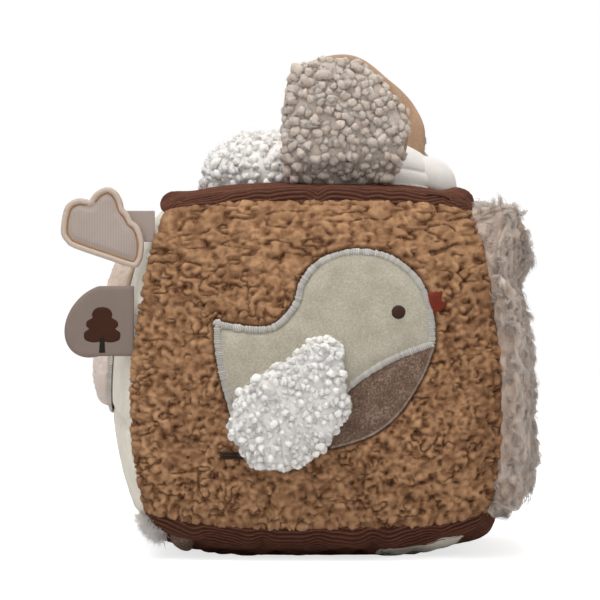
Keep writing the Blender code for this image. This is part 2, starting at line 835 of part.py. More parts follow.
def tag_hinge(name, low, high):
    """An upright fold line just outside the seam, clear of it from the tag's foot to its head."""
    reach = min(seam_place(low).x, seam_place(high).x) - tag_root_gap
    middle = seam_place((low + high) / 2)
    return pivot(name, Vector((reach, middle.y, middle.z)))


def upright_layer(root):
    """Places on a tag that hangs upright beside its fold line, facing the front."""
    return lambda point, lift: Vector((point.x, root.y - lift, point.y))


def make_cloud_tag():
    foot, head = ribbon_middle_z - ribbon_height / 2, ribbon_middle_z + ribbon_height / 2
    carrier = tag_hinge("cloud_tag_bend", foot, head)
    root = carrier.location
    flat = upright_layer(root)
    middle = (root.x - cloud_middle_offset, cloud_middle_z)
    outline = smooth_loop(sized(cloud_shares, cloud_width, cloud_height, middle), cloud_corners, steps=2)
    end = middle[0] + cloud_width / 2 - ribbon_lap
    ribbon = [Vector(corner) for corner in ((end, foot), (root.x, foot), (root.x, head), (end, head))]
    half = ribbon_thickness / 2
    piece("cloud_ribbon", sheet(ribbon, flat, -half, half), ribbon_taupe, carrier)

    film = shifted(outline, -cloud_stitch_inset)
    level = half + touch_gap
    for name, cover, thickness, colour in (
            ("cloud_back", outline, cloud_cover_thickness, ribbon_taupe),
            ("cloud_film", film, film_thickness, film_clear),
            ("cloud_front", outline, cloud_cover_thickness, ribbon_taupe)):
        piece(name, sheet(cover, flat, level, level + thickness), colour, carrier)
        level += thickness + touch_gap
    inside = shifted(outline, -cloud_stitch_inset - cloud_stitch_width)
    line = band(film, inside, flat, level, level + cloud_stitch_thickness)
    piece("cloud_stitching", line, lining_tan, carrier)


def make_tree_tag():
    half = tree_tag_height / 2
    carrier = tag_hinge("tree_tag_bend", tree_tag_middle_z - half, tree_tag_middle_z + half)
    root = carrier.location
    flat = upright_layer(root)
    round_length = tree_tag_length / 2
    straight_end = root.x - round_length
    turns = (pi / 2 + pi * k / small_round_points for k in range(small_round_points + 1))
    outline = [Vector((straight_end + round_length * cos(t),
                       tree_tag_middle_z + half * sin(t) + tree_tag_droop * cos(t))) for t in turns]
    outline += [Vector((root.x, tree_tag_middle_z + side * half)) for side in (-1, 1)]
    low = touch_gap / 2
    piece("tree_tag_front", sheet(outline, flat, low, low + tree_tag_ply), ribbon_taupe, carrier)
    piece("tree_tag_back", sheet(outline, flat, -low - tree_tag_ply, -low), ribbon_taupe, carrier)


def make_mushroom():
    place = layer_on(left_face)
    low = mushroom_seat_gap
    cap = smooth_loop(sized(cap_shares, cap_half_width, cap_height, (0, cap_base_z)), steps=2)
    piece("mushroom_cap", pad(cap, place, low, cap_edge, cap_rise), lining_tan)
    stem = oval((0, stem_middle_z), stem_half_width, stem_height / 2)
    piece("mushroom_stem", pad(stem, place, low, stem_edge, stem_rise), white)
    inside, outside = shifted(stem, touch_gap), shifted(stem, touch_gap + edging_width)
    piece("mushroom_edging", band(outside, inside, place, low, low + edging_thickness), thread_grey)


def make_base_pieces():
    place = layer_on(bottom_face)
    low = touch_gap
    middle = (bottom_half_width - base_patch_inset_x, base_patch_inset_y - bottom_half_depth)
    patch = oval(middle, base_patch_half_length, base_patch_half_width)
    piece("base_patch", sheet(patch, place, low, low + base_patch_thickness), cream)
    inside, outside = shifted(patch, touch_gap), shifted(patch, touch_gap + edging_width)
    edging = band(outside, inside, place, low, low + base_edging_thickness)
    piece("base_patch_edging", edging, thread_grey)
    middle = (tab_inset_x - bottom_half_width, tab_inset_y - bottom_half_depth)
    tab = oval(middle, tab_half_length, tab_half_width, small_round_points)
    piece("velvet_tab", pad(tab, place, low, tab_edge, tab_rise), taupe)
    middle = (tuft_inset_x - bottom_half_width, tuft_inset_y - bottom_half_depth)
    tuft = oval(middle, tuft_half_length, tuft_half_width, small_round_points)
    piece("tail_tuft", pad(tuft, place, low, tuft_edge, tuft_rise), fur_grey)


def make_seam_thread():
    """One thread in ladder stitches over the seam of the back and bottom panels."""
    lift = 1 + (thread_radius + touch_gap) / bottom_half_width
    inset = 1 - stitch_reach / bottom_half_width
    step = stitch_pitch / bottom_half_width / 2
    points = []
    for k in range(stitch_count):
        start = (2 * k - stitch_count) * step
        points += [(start, lift, -inset), (start, lift, -lift), (start, inset, -lift)]
        points += [(start + step, inset, -lift), (start + step, lift, -lift), (start + step, lift, -inset)]
    data = bpy.data.curves.new("seam_thread", "CURVE")
    data.dimensions = "3D"
    data.bevel_depth = thread_radius
    data.bevel_resolution = thread_bevel_steps
    data.use_fill_caps = True
    spline = data.splines.new("POLY")
    spline.points.add(len(points) - 1)
    for target, point in zip(spline.points, points):
        target.co = (*warp(*point), 1.0)
    data.materials.append(material("seam_thread", cream))
    made = bpy.data.objects.new("seam_thread", data)
    bpy.context.collection.objects.link(made)


def main():
    for old in list(bpy.data.objects):
        bpy.data.objects.remove(old)
    make_panels()
    make_filling()
    make_rattle()
    make_bird()
    make_wing()
    make_head()
    make_ear("front_ear", -1, front_ear_x)
    make_ear("rear_ear", 1, rear_ear_x)
    make_cloud_tag()
    make_tree_tag()
    make_mushroom()
    make_base_pieces()
    make_seam_thread()


main()
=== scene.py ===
# Soft fabric block: a stuffed activity cube with a bird patch, a plush head on top and two sewn tags.
# Sizes in the dictionaries are real ones, in millimetres unless a note says otherwise.

import math

import bpy
import numpy as np
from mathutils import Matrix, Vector, geometry, kdtree


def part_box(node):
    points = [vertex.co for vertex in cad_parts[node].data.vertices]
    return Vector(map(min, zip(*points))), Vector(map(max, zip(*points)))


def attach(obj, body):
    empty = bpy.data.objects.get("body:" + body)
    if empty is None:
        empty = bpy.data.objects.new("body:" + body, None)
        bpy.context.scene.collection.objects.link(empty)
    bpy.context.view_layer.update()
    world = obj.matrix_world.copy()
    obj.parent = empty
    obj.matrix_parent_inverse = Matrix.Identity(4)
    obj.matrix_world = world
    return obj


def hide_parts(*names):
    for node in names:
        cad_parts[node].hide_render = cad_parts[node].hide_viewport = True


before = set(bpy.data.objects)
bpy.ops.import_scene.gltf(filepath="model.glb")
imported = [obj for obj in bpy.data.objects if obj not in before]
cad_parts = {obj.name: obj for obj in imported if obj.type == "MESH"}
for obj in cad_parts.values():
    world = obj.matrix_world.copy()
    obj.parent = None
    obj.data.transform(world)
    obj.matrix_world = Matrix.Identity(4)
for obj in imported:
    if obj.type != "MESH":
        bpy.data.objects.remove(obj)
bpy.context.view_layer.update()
mm = 0.001
blockMiddle = np.asarray([0.0, 0.0, 0.078])


# Small tools

def linearColour(hexText):
    channels = [int(hexText[k:k + 2], 16) / 255 for k in (1, 3, 5)]
    return [c / 12.92 if c <= 0.04045 else ((c + 0.055) / 1.055) ** 2.4 for c in channels] + [1.0]


def addNode(tree, kind, links=(), **settings):
    node = tree.nodes.new(kind)
    for name, value in settings.items():
        setattr(node, name, value)
    for name, value in dict(links).items():
        if isinstance(value, bpy.types.NodeSocket):
            tree.links.new(value, node.inputs[name])
        else:
            node.inputs[name].default_value = value
    return node


def stacked(*parts):
    return np.stack(parts, -1)


def smoothStep(low, high, t):
    t = np.clip((t - low) / (high - low), 0, 1)
    return t * t * (3 - 2 * t)


def unit(vectors):
    return vectors / np.maximum(np.linalg.norm(vectors, axis=-1, keepdims=True), 1e-12)


def latticeValue(i, j, seed):  # an even spread of values from 0 to 1, one for each pair of whole numbers
    n = (i * 374761393 + j * 668265263 + seed * 974634777) & 0xffffffff
    n = ((n ^ (n >> 13)) * 1274126177) & 0xffffffff
    return ((n ^ (n >> 16)) & 0xffffff) / 0xffffff


def softNoise(x, y, size, seed, octaves=1):  # from 0 to 1, with one hill or hollow about every size, or pair of sizes
    sizeX, sizeY = size if isinstance(size, tuple) else (size, size)
    x, y = x / sizeX, y / sizeY
    total, weight = 0.0, 0.0
    for k in range(octaves):
        i, j = np.floor(x * 2 ** k).astype(np.int64), np.floor(y * 2 ** k).astype(np.int64)
        s, t = smoothStep(0, 1, x * 2 ** k - i), smoothStep(0, 1, y * 2 ** k - j)
        low = latticeValue(i, j, seed + k) * (1 - s) + latticeValue(i + 1, j, seed + k) * s
        high = latticeValue(i, j + 1, seed + k) * (1 - s) + latticeValue(i + 1, j + 1, seed + k) * s
        total = total + (low * (1 - t) + high * t) * 0.5 ** k
        weight += 0.5 ** k
    return total / weight


def flatNoise(flat, size, seed, octaves=1):
    return softNoise(flat[..., 0], flat[..., 1], size, seed, octaves)


def aboveFloor(points, height=0.0):
    points[..., 2] = np.maximum(points[..., 2], height)
    return points


def readVertices(mesh, field):
    values = np.zeros(len(mesh.vertices) * 3, np.float32)
    mesh.vertices.foreach_get(field, values)
    return values.reshape(-1, 3)


def addObject(name, data):
    made = bpy.data.objects.new(name, data)
    bpy.context.scene.collection.objects.link(made)
    return made


def turnedOut(points, groups):  # faces in the order that looks away from the inside
    volume = 0.0
    for group in groups:
        corner = points[group] - blockMiddle
        for k in range(1, group.shape[1] - 1):
            volume += (np.cross(corner[:, k], corner[:, k + 1]) * corner[:, 0]).sum()
    return groups if volume > 0 else [group[:, ::-1] for group in groups]


slots = {}  # the recolouring slot of each material, by its name


def makeMesh(name, points, groups, material, tint, replaces=(), body="block", slot=None):
    mesh = bpy.data.meshes.new(name)
    points = np.asarray(points, float).reshape(-1, 3)
    groups = turnedOut(points, groups)
    corners = np.concatenate([group.ravel() for group in groups]).astype(np.int32)
    sizes = np.concatenate([np.full(len(group), group.shape[1], np.int32) for group in groups])
    mesh.vertices.add(len(points))
    mesh.vertices.foreach_set("co", points.astype(np.float32).ravel())
    mesh.loops.add(len(corners))
    mesh.loops.foreach_set("vertex_index", corners)
    mesh.polygons.add(len(sizes))
    mesh.polygons.foreach_set("loop_start", np.concatenate([[0], np.cumsum(sizes)[:-1]]).astype(np.int32))
    mesh.update(calc_edges=True)
    mesh.shade_smooth()
    if tint is not None:
        shade = mesh.attributes.new("tint", "FLOAT", "POINT")
        shade.data.foreach_set("value", np.asarray(tint, np.float32).ravel())
    mesh.materials.append(material)
    made = addObject(name, mesh)
    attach(made, body)
    if replaces:
        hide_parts(*replaces)
    slot or slots[material.name]
    return made


def gridFaces(rows, columns):
    index = np.arange(rows * columns).reshape(rows, columns)
    return stacked(index[:-1, :-1], index[1:, :-1], index[1:, 1:], index[:-1, 1:]).reshape(-1, 4)


def smoothCurve(points, steps, closed=True, corners=()):
    points = np.asarray(points, float)
    count = len(points)
    t = (np.arange(steps) / steps)[:, None]
    runs = []
    for i in range(count if closed else count - 1):
        p = [points[(i + k) % count] if closed else points[min(max(i + k, 0), count - 1)] for k in (-1, 0, 1, 2)]
        if i in corners:
            p[0] = p[1]
        if (i + 1) % count in corners:
            p[3] = p[2]
        bend = (2 * p[0] - 5 * p[1] + 4 * p[2] - p[3]) * t ** 2
        runs.append((2 * p[1] + (p[2] - p[0]) * t + bend + (3 * p[1] - p[0] - 3 * p[2] + p[3]) * t ** 3) / 2)
    return np.concatenate(runs if closed else runs + [points[-1:]])


def evenly(line, spacing, closed=True):
    path = np.concatenate([line, line[:1]]) if closed else line
    along = np.concatenate([[0], np.cumsum(np.linalg.norm(np.diff(path, axis=0), axis=1))])
    count = max(int(round(along[-1] / spacing)), 3)
    at = np.linspace(0, along[-1], count + 1)[:count if closed else count + 1]
    return stacked(*(np.interp(at, along, column) for column in path.T))


def sized(shares, width, height, middle):
    return np.asarray(shares) * (width, height) + middle


def ovalLine(middle, halfLength, halfWidth, spacing):
    turn = np.linspace(0, 2 * math.pi, 121)[:-1]
    return evenly(stacked(middle[0] + halfLength * np.cos(turn), middle[1] + halfWidth * np.sin(turn)), spacing)


def lineNormals(line, closed=True):  # to the right of the way the line runs, so outward where it runs left about
    run = np.roll(line, -1, 0) - np.roll(line, 1, 0) if closed else np.gradient(line, axis=0)
    return unit(stacked(run[:, 1], -run[:, 0]))


def lineArea(line):
    after = np.roll(line, -1, 0)
    return (line[:, 0] * after[:, 1] - line[:, 1] * after[:, 0]).sum() / 2


def leftAbout(line):
    return line if lineArea(line) > 0 else line[::-1]


def edgeDistance(points, line):  # to a closed line
    best = np.full(len(points), 1e9)
    for start, end in zip(line, np.roll(line, -1, 0)):
        run = end - start
        along = np.clip(((points - start) @ run) / max(run @ run, 1e-12), 0, 1)
        best = np.minimum(best, np.linalg.norm(points - start - along[:, None] * run, axis=1))
    return best


def insideLine(points, line):
    inside = np.zeros(len(points), bool)
    for start, end in zip(line, np.roll(line, -1, 0)):
        crosses = (start[1] > points[:, 1]) != (end[1] > points[:, 1])
        if crosses.any():
            slope = (end[0] - start[0]) / (end[1] - start[1] if end[1] != start[1] else 1e-12)
            inside ^= crosses & (points[:, 0] < start[0] + (points[:, 1] - start[1]) * slope)
    return inside


def fillLine(line, spacing):  # points and triangles inside a closed line, the line's own points first
    low, high = line.min(0), line.max(0)
    rows = np.arange(low[1], high[1], spacing * 0.87)
    columns = np.arange(low[0], high[0], spacing)
    grid = np.asarray([(x + (k % 2) * spacing / 2, y) for k, y in enumerate(rows) for x in columns])
    grid = grid[insideLine(grid, line)]
    grid = grid[edgeDistance(grid, line) > spacing * 0.55]
    everything = [Vector(p) for p in np.concatenate([line, grid])]
    edges = [(k, (k + 1) % len(line)) for k in range(len(line))]
    found = geometry.delaunay_2d_cdt(everything, edges, [], 1, 1e-6)
    return np.asarray([tuple(p) for p in found[0]]), np.asarray([tuple(f) for f in found[2] if len(f) == 3])


def shell(flat, triangles, place, low, high):  # a closed piece between two heights over flat points
    edges = np.concatenate([triangles[:, [0, 1]], triangles[:, [1, 2]], triangles[:, [2, 0]]])
    key = np.sort(edges, 1)
    _, first, uses = np.unique(key, axis=0, return_index=True, return_counts=True)
    rim = edges[first[uses == 1]]
    count = len(flat)
    points = np.concatenate([place(flat, high), place(flat, low)])
    sides = stacked(rim[:, 1], rim[:, 0], rim[:, 0] + count, rim[:, 1] + count)
    return points, turnedOut(points, [triangles, triangles[:, ::-1] + count, sides])


def domeShare(flat, line):  # 0 in the middle of an outline and 1 at its edge
    middle = line.mean(0)
    turn = np.arctan2(*(line - middle).T[::-1])
    order = np.argsort(turn)
    reach = np.linalg.norm(line - middle, axis=1)[order]
    away = flat - middle
    at = np.interp(np.arctan2(away[:, 1], away[:, 0]), turn[order], reach, period=2 * math.pi)
    return np.clip(np.linalg.norm(away, axis=1) / at, 0, 1)


def dome(share):
    return np.sqrt(np.clip(1 - np.clip(share, 0, 1) ** 2.6, 0, 1))


def scatter(points, triangles, count, rng):  # places on a surface, with its normals there
    a, b, c = (points[triangles[:, k]] for k in range(3))
    across = np.cross(b - a, c - a)
    area = np.linalg.norm(across, axis=1)
    chosen = rng.choice(len(triangles), count, p=area / area.sum())
    s, t = rng.random(count), rng.random(count)
    over = s + t > 1
    s, t = np.where(over, 1 - s, s), np.where(over, 1 - t, t)
    a, b, c = a[chosen], b[chosen], c[chosen]
    return a + (b - a) * s[:, None] + (c - a) * t[:, None], unit(across[chosen])


def thinOut(places, normals, spacing):  # leaves places that keep their distance from each other
    tree = kdtree.KDTree(len(places))
    for k, place in enumerate(places):
        tree.insert(place, k)
    tree.balance()
    kept = []
    gone = np.zeros(len(places), bool)
    for k, place in enumerate(places):
        if not gone[k]:
            kept.append(k)
            for _, other, _ in tree.find_range(place, spacing):
                gone[other] = True
    return places[kept], normals[kept]


def acrossOf(normals, rng):  # a random direction along the surface at each normal
    return unit(np.cross(normals, unit(rng.normal(size=normals.shape))))


def tubes(lines, radii, sides, guide):  # round threads along many lines of equal counts, with closed ends
    count, steps = lines.shape[:2]
    run = unit(np.gradient(lines, axis=1))
    right = unit(np.cross(run, guide[:, None, :]))
    up = np.cross(right, run)
    turn = 2 * math.pi * np.arange(sides) / sides
    ring = right[:, :, None, :] * np.cos(turn)[:, None] + up[:, :, None, :] * np.sin(turn)[:, None]
    points = lines[:, :, None, :] + ring * radii[:, :, None, None]
    index = np.arange(count * steps * sides).reshape(count, steps, sides)
    low, high = index[:, :-1], index[:, 1:]
    walls = stacked(low, high, np.roll(high, -1, 2), np.roll(low, -1, 2)).reshape(-1, 4)
    return points.reshape(-1, 3), [walls, index[:, 0], index[:, -1, ::-1]]


def strands(name, lines, radius, guide, material, tints, body="block", slot=None):  # hair that thins to its tip
    count, steps = lines.shape[:2]
    thin = radius * mm * np.interp(np.linspace(0, 1, steps), (0, 0.6, 1), (1, 0.9, 0.2))[None, :] * np.ones((count, 1))
    points, faces = tubes(lines, thin, 3, guide)
    # each strand is painted darker at its root and lighter at its tip, as painted shade in the pile and painted light
    # on the tips
    tint = np.repeat(tints[:, None] + np.linspace(-0.10, 0.10, steps)[None, :], 3, axis=1)
    makeMesh(name, points, faces, material, tint, body=body, slot=slot)


def bentLines(roots, heads, bends, lengths, steps):  # lines that leave along heads and turn towards bends
    t = np.linspace(0, 1, steps)[None, :, None]
    return roots[:, None, :] + lengths[:, None, None] * (heads[:, None, :] * t + bends[:, None, :] * t ** 2)


def pileField(low, high, look, flow, stretch):
    # heights over a flat area, in millimetres, of many short rolls of pile laid across each other
    rng = np.random.default_rng(look["seed"])
    cell, gap = look["cell"], look["spacing"]
    starts = stacked(*np.meshgrid(np.arange(low[0], high[0], gap), np.arange(low[1], high[1], gap), indexing="ij"))
    starts = starts.reshape(-1, 2) + rng.uniform(-0.5, 0.5, (starts.size // 2, 2)) * gap
    count, steps = len(starts), look["steps"]
    t = np.linspace(-0.5, 0.5, steps)[None, :]
    longer = stretch(starts)
    length = (look["length"] * rng.uniform(0.55, 1.35, count) * longer)[:, None]
    heading = (flow(starts) + rng.normal(scale=look["stray"], size=count) / longer)[:, None]
    heading = heading + rng.normal(scale=look["bend"], size=(count, 1)) * t * length
    heading = heading + 0.5 * np.sin(t * length * rng.uniform(0.6, 1.2, (count, 1)) + rng.uniform(0, 6, (count, 1)))
    step = stacked(np.cos(heading), np.sin(heading)) * (length / steps)[..., None]
    places = starts[:, None, :] + np.cumsum(step, 1) - step.sum(1, keepdims=True) / 2
    radius = look["radius"] * rng.uniform(0.75, 1.25, (count, 1)) * (1 - np.abs(2 * t) ** 3 * 0.75)
    radius = radius * (0.88 + 0.24 * flatNoise(places, 1.3, look["seed"] + 1))
    lift = look["lift"] * rng.random((count, 1)) * (1 - 0.5 * np.abs(2 * t) ** 2)
    shape = tuple(int((high[k] - low[k]) / cell) + 1 for k in range(2))
    field = np.zeros(shape)
    near = np.floor((places - low) / cell).astype(int)
    reach = int(look["radius"] * 1.4 / cell) + 1
    for i in range(-reach, reach + 1):
        for j in range(-reach, reach + 1):
            at = near + (i, j)
            away = ((at * cell + low - places) ** 2).sum(-1)
            found = (away < radius ** 2) & (at >= 0).all(-1) & (at < shape).all(-1)
            height = lift + np.sqrt(np.maximum(radius ** 2 - away, 0))
            np.maximum.at(field, (at[found][:, 0], at[found][:, 1]), height[found])
    for _ in range(look["softening"]):
        field = (field + np.roll(field, 1, 0) + np.roll(field, -1, 0)) / 3
        field = (field + np.roll(field, 1, 1) + np.roll(field, -1, 1)) / 3

    def read(x, y):
        s, t = (np.clip((v - low[k]) / cell, 0, shape[k] - 1.001) for k, v in enumerate((x, y)))
        i, j = s.astype(int), t.astype(int)
        s, t = s - i, t - j
        lower = field[i, j] * (1 - s) + field[i + 1, j] * s
        return lower * (1 - t) + (field[i, j + 1] * (1 - s) + field[i + 1, j + 1] * s) * t
    return read


# Block: the shape that its stuffing gives the six panels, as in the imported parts

blockShape = {
    "topHalfWidth": 60.2, "bottomHalfWidth": 68.7, "topHalfDepth": 61.0, "bottomHalfDepth": 65.5,
    "lowerSeam": 18.9, "upperSeam": 136.5, "uprightBowX": 5.5, "uprightBowY": 2.0, "levelBow": 2.0,
    "upperRise": 1.0, "lowerSag": 5.0, "frontCrown": 7.5, "backCrown": 7.5, "leftCrown": 9.5,
    "rightCrown": 0.5, "topCrown": 7.0, "bottomCrown": 10.4, "cornerShare": 0.05,
}
blockFaces = {"front": (1, -1), "back": (1, 1), "left": (0, -1), "right": (0, 1), "top": (2, 1), "bottom": (2, -1)}
swell = {}  # what the simulation moves each panel by, on a coarse grid


def hump(t, power=2):
    return 1 - np.abs(t) ** power


def between(low, high, t):
    return low + (high - low) * (t + 1) / 2


def warp(u, v, w):
    s = blockShape
    pull = 1 - s["cornerShare"] * np.minimum(np.abs(u * v * w), 1) ** 3
    u, v, w = u * pull, v * pull, w * pull
    sideways = between(s["bottomHalfWidth"], s["topHalfWidth"], w) + s["uprightBowX"] * hump(w)
    lengthways = between(s["bottomHalfDepth"], s["topHalfDepth"], w) + s["uprightBowY"] * hump(w)
    left = -sideways - (s["levelBow"] + s["leftCrown"] * hump(w)) * hump(v)
    right = sideways + (s["levelBow"] + s["rightCrown"] * hump(w)) * hump(v)
    front = -lengthways - (s["levelBow"] + s["frontCrown"] * hump(w)) * hump(u)
    back = lengthways + (s["levelBow"] + s["backCrown"] * hump(w)) * hump(u)
    top = s["upperSeam"] + s["upperRise"] * (hump(u) + hump(v)) + s["topCrown"] * hump(u, 4) * hump(v, 4)
    bottom = s["lowerSeam"] - s["lowerSag"] * (hump(u, 3) + hump(v, 3)) - s["bottomCrown"] * hump(u, 4) * hump(v, 4)
    return stacked(between(left, right, u), between(front, back, v), between(bottom, top, w)) * mm


def cubePlace(face, a, b, level=1.0):
    axis, side = blockFaces[face]
    place = [np.asarray(a, float), np.asarray(b, float)]
    place.insert(axis, np.zeros(np.shape(a)) + side * level)
    return place


def gridValue(grid, a, b):  # the coarse grid's value between its points, on a smooth curve
    cells = grid.shape[0] - 1
    fa, fb = (np.clip((t + 1) / 2 * cells, 0, cells - 1e-6) for t in (a, b))
    i, j = fa.astype(int), fb.astype(int)
    s, t = fa - i, fb - j

    def weights(r):
        return [(-r + 2 * r ** 2 - r ** 3) / 2, (2 - 5 * r ** 2 + 3 * r ** 3) / 2,
                (r + 4 * r ** 2 - 3 * r ** 3) / 2, (r ** 3 - r ** 2) / 2]
    total = 0.0
    for m, ws in enumerate(weights(s)):
        for n, wt in enumerate(weights(t)):
            total = total + grid[np.clip(i + m - 1, 0, cells), np.clip(j + n - 1, 0, cells)] * (ws * wt)[..., None]
    return total


def skinPoint(face, a, b):
    points = warp(*cubePlace(face, a, b))
    if face in swell:
        points = points + gridValue(swell[face], a, b)
    return points


def facingOut(face, across):
    axis, side = blockFaces[face]
    return unit(across) * (-side if axis == 1 else side)


def skinNormal(face, a, b):
    step = 0.004
    alongA = skinPoint(face, a + step, b) - skinPoint(face, a - step, b)
    return facingOut(face, np.cross(alongA, skinPoint(face, a, b + step) - skinPoint(face, a, b - step)))


def onPanel(face, lift=0.0):  # puts flat millimetre points on a panel, raised off it
    axis, side = blockFaces[face]
    first, second = [k for k in range(3) if k != axis]

    def place(flat, raised):
        a, b = np.zeros(len(flat)), np.zeros(len(flat))
        for _ in range(12):
            found = skinPoint(face, a, b)
            a = a + (flat[:, 0] * mm - found[:, first]) / (blockShape["bottomHalfWidth"] * mm)
            b = b + (flat[:, 1] * mm - found[:, second]) / (blockShape["bottomHalfWidth"] * mm)
        found = skinPoint(face, a, b)
        found[:, axis] += side * (raised + lift) * mm
        return aboveFloor(found)
    return place


simulation = {"cells": 26, "frames": 18, "pressure": 3.0, "spareCloth": -0.05, "most": 1.6, "stiffness": 12.0,
              "bending": 0.4, "quality": 6, "mass": 0.1, "restingBelow": 1.5, "seamShare": 0.2}


def simulateStuffing():
    cells = simulation["cells"]
    line = np.arange(cells + 1)
    i, j = (grid.ravel() for grid in np.meshgrid(line, line, indexing="ij"))
    keys, quads, faceKeys = {}, [], {}
    for face, (axis, side) in blockFaces.items():
        spots = [i, j]
        spots.insert(axis, np.full(len(i), cells if side > 0 else 0))
        faceKeys[face] = [keys.setdefault(spot, len(keys)) for spot in zip(*spots)]
        flip = side < 0 if axis != 1 else side > 0
        quads += np.asarray(faceKeys[face])[gridFaces(cells + 1, cells + 1)[:, ::-1 if flip else 1]].tolist()
    cube = np.asarray(list(keys)) / cells * 2 - 1
    start = aboveFloor(warp(*cube.T))
    mesh = bpy.data.meshes.new("stuffing")
    mesh.from_pydata(start.tolist(), [], quads)
    cover = addObject("stuffing", mesh)
    seams = cover.vertex_groups.new(name="seams")
    onSeam = (np.abs(cube) > 0.999).sum(1) >= 2
    resting = start[:, 2] < simulation["restingBelow"] * mm
    seams.add(np.flatnonzero(onSeam | resting).tolist(), 1.0, "REPLACE")
    cloth = cover.modifiers.new("cloth", "CLOTH")
    settings = cloth.settings
    settings.quality = simulation["quality"]
    settings.mass = simulation["mass"]
    settings.tension_stiffness = settings.compression_stiffness = simulation["stiffness"]
    settings.bending_stiffness = simulation["bending"]
    settings.shrink_min = simulation["spareCloth"]
    settings.use_pressure = True
    settings.uniform_pressure_force = simulation["pressure"]
    settings.vertex_group_mass = "seams"
    settings.effector_weights.gravity = 0
    cloth.collision_settings.use_collision = False
    for step in range(1, simulation["frames"] + 1):
        bpy.context.scene.frame_set(step)
    graph = bpy.context.evaluated_depsgraph_get()
    moved = readVertices(cover.evaluated_get(graph).data, "co") - start
    length, most = np.linalg.norm(moved, axis=1, keepdims=True), simulation["most"] * mm
    moved *= most * np.tanh(length / most) / np.maximum(length, 1e-9)
    moved[onSeam] *= simulation["seamShare"]
    for face, ids in faceKeys.items():
        swell[face] = moved[ids].reshape(cells + 1, cells + 1, 3)
    bpy.data.objects.remove(cover)
    bpy.context.scene.frame_set(1)
    furthest = float(np.linalg.norm(moved, axis=1).max() / mm)
    print("stuffing simulated, panels move by at most", round(furthest, 2), "mm")


simulateStuffing()


# Materials

def startMaterial(name):
    material = bpy.data.materials.new(name)
    material.use_nodes = True
    tree = material.node_tree
    return tree, tree.nodes["Principled BSDF"], addNode(tree, "ShaderNodeTexCoord").outputs["Object"]


def finishMaterial(name, shader, ramp, relief, settings):
    material = bpy.data.materials[name]
    for result, field in ((ramp.outputs["Color"], "Base Color"), (relief.outputs["Normal"], "Normal")):
        material.node_tree.links.new(result, shader.inputs[field])
    for field, value in settings.items():
        shader.inputs[field].default_value = value
    return material


def clothMaterial(name, slot, dark, middle, light, roughness, sheen, grain, grainDepth, mottle=9.0,
                  mottleShare=0.35, spread=0.4, ribs=None, scatterDepth=0.0):
    # dark, middle and light are the colours that the tint attribute picks from; where a piece's tint follows its
    # relief, dark is painted shade in the hollows and light is painted light on the tips, and elsewhere they are
    # the fibre's own range of tone; spread is how far apart they lie; grain is the fibre's own pattern, mottle
    # the larger brushing marks, ribs a woven line (pitch, slant, strength), and scatterDepth how far light goes
    # through loose pile, in millimetres
    slots[name] = slot
    tree, shader, place = startMaterial(name)
    tint = addNode(tree, "ShaderNodeAttribute", attribute_name="tint").outputs["Fac"]
    brushed = addNode(tree, "ShaderNodeTexNoise", {"Vector": place, "Scale": 1 / (mottle * mm), "Detail": 3.0})
    fine = addNode(tree, "ShaderNodeTexNoise", {"Vector": place, "Scale": 1 / (grain * mm), "Detail": 2.0})
    both = addNode(tree, "ShaderNodeMix", {"Factor": 0.6, "A": brushed.outputs["Fac"], "B": fine.outputs["Fac"]})
    shade = addNode(tree, "ShaderNodeMix", {"Factor": mottleShare, "A": tint, "B": both.outputs["Result"]})
    shade, height = shade.outputs["Result"], fine.outputs["Fac"]
    if ribs:
        pitch, slant, strength = ribs
        turned = addNode(tree, "ShaderNodeMapping", {"Vector": place, "Rotation": (0, math.radians(slant), 0)})
        wavesPerUnit = 3.183  # what the wave texture draws over a length of one at a scale of one
        wave = addNode(tree, "ShaderNodeTexWave", {
            "Vector": turned.outputs["Vector"], "Scale": 1 / (pitch * mm) / wavesPerUnit, "Distortion": 0.6,
            "Detail": 1.0, "Detail Scale": 1.5}).outputs["Fac"]
        # the rib wave also lightens the colour on the rib crests and darkens it in the grooves, as painted shade
        shade = addNode(tree, "ShaderNodeMix", {"Factor": strength, "A": shade, "B": wave}).outputs["Result"]
        height = addNode(tree, "ShaderNodeMix", {"Factor": 0.7, "A": height, "B": wave}).outputs["Result"]
    ramp = addNode(tree, "ShaderNodeValToRGB", {"Fac": shade})
    for stop, position, colour in zip(ramp.color_ramp.elements, (0.5 - spread, 0.5 + spread), (dark, light)):
        stop.position, stop.color = position, linearColour(colour)
    ramp.color_ramp.elements.new(0.5).color = linearColour(middle)
    relief = addNode(tree, "ShaderNodeBump", {"Height": height, "Distance": grainDepth * mm, "Strength": 0.7})
    settings = {"Roughness": roughness, "Sheen Weight": sheen, "Sheen Roughness": 0.5,
                "Sheen Tint": linearColour(light), "Specular IOR Level": 0.25}
    if scatterDepth:
        settings.update({"Subsurface Weight": 0.6, "Subsurface Scale": scatterDepth * mm,
                         "Subsurface Radius": (1.0, 0.9, 0.8)})
    return finishMaterial(name, shader, ramp, relief, settings)


# Knitted polyester teddy pile, tumbled into clumps: matt, painted darker in its hollows as painted shade and paler on
# its tips as painted light
teddyFleece = clothMaterial("teddyFleecePolyester", "teddy_fleece", "#4b2b16", "#7f5b3f", "#b48b66", 0.95,
                            0.12, 0.55, 0.12, 7.0, 0.22)
# Cotton corduroy, woven in ribs and dyed dark: soft ribs with a faint sheen, painted lighter on the rib tops as painted
# light and darker in the valleys as painted shade
corduroy = clothMaterial("corduroyCotton", "brown_corduroy", "#180803", "#47271a", "#734835", 0.9, 0.15, 0.35,
                         0.08, 6.0, 0.25)
# Long acrylic plush, combed and crimped: strands with a soft lustre
longPlush = clothMaterial("longPlushAcrylic", "long_pile_fur", "#857265", "#b4a193", "#d8cbc0", 0.8, 0.2, 0.8,
                          0.25, 11.0, 0.3, scatterDepth=1.0)
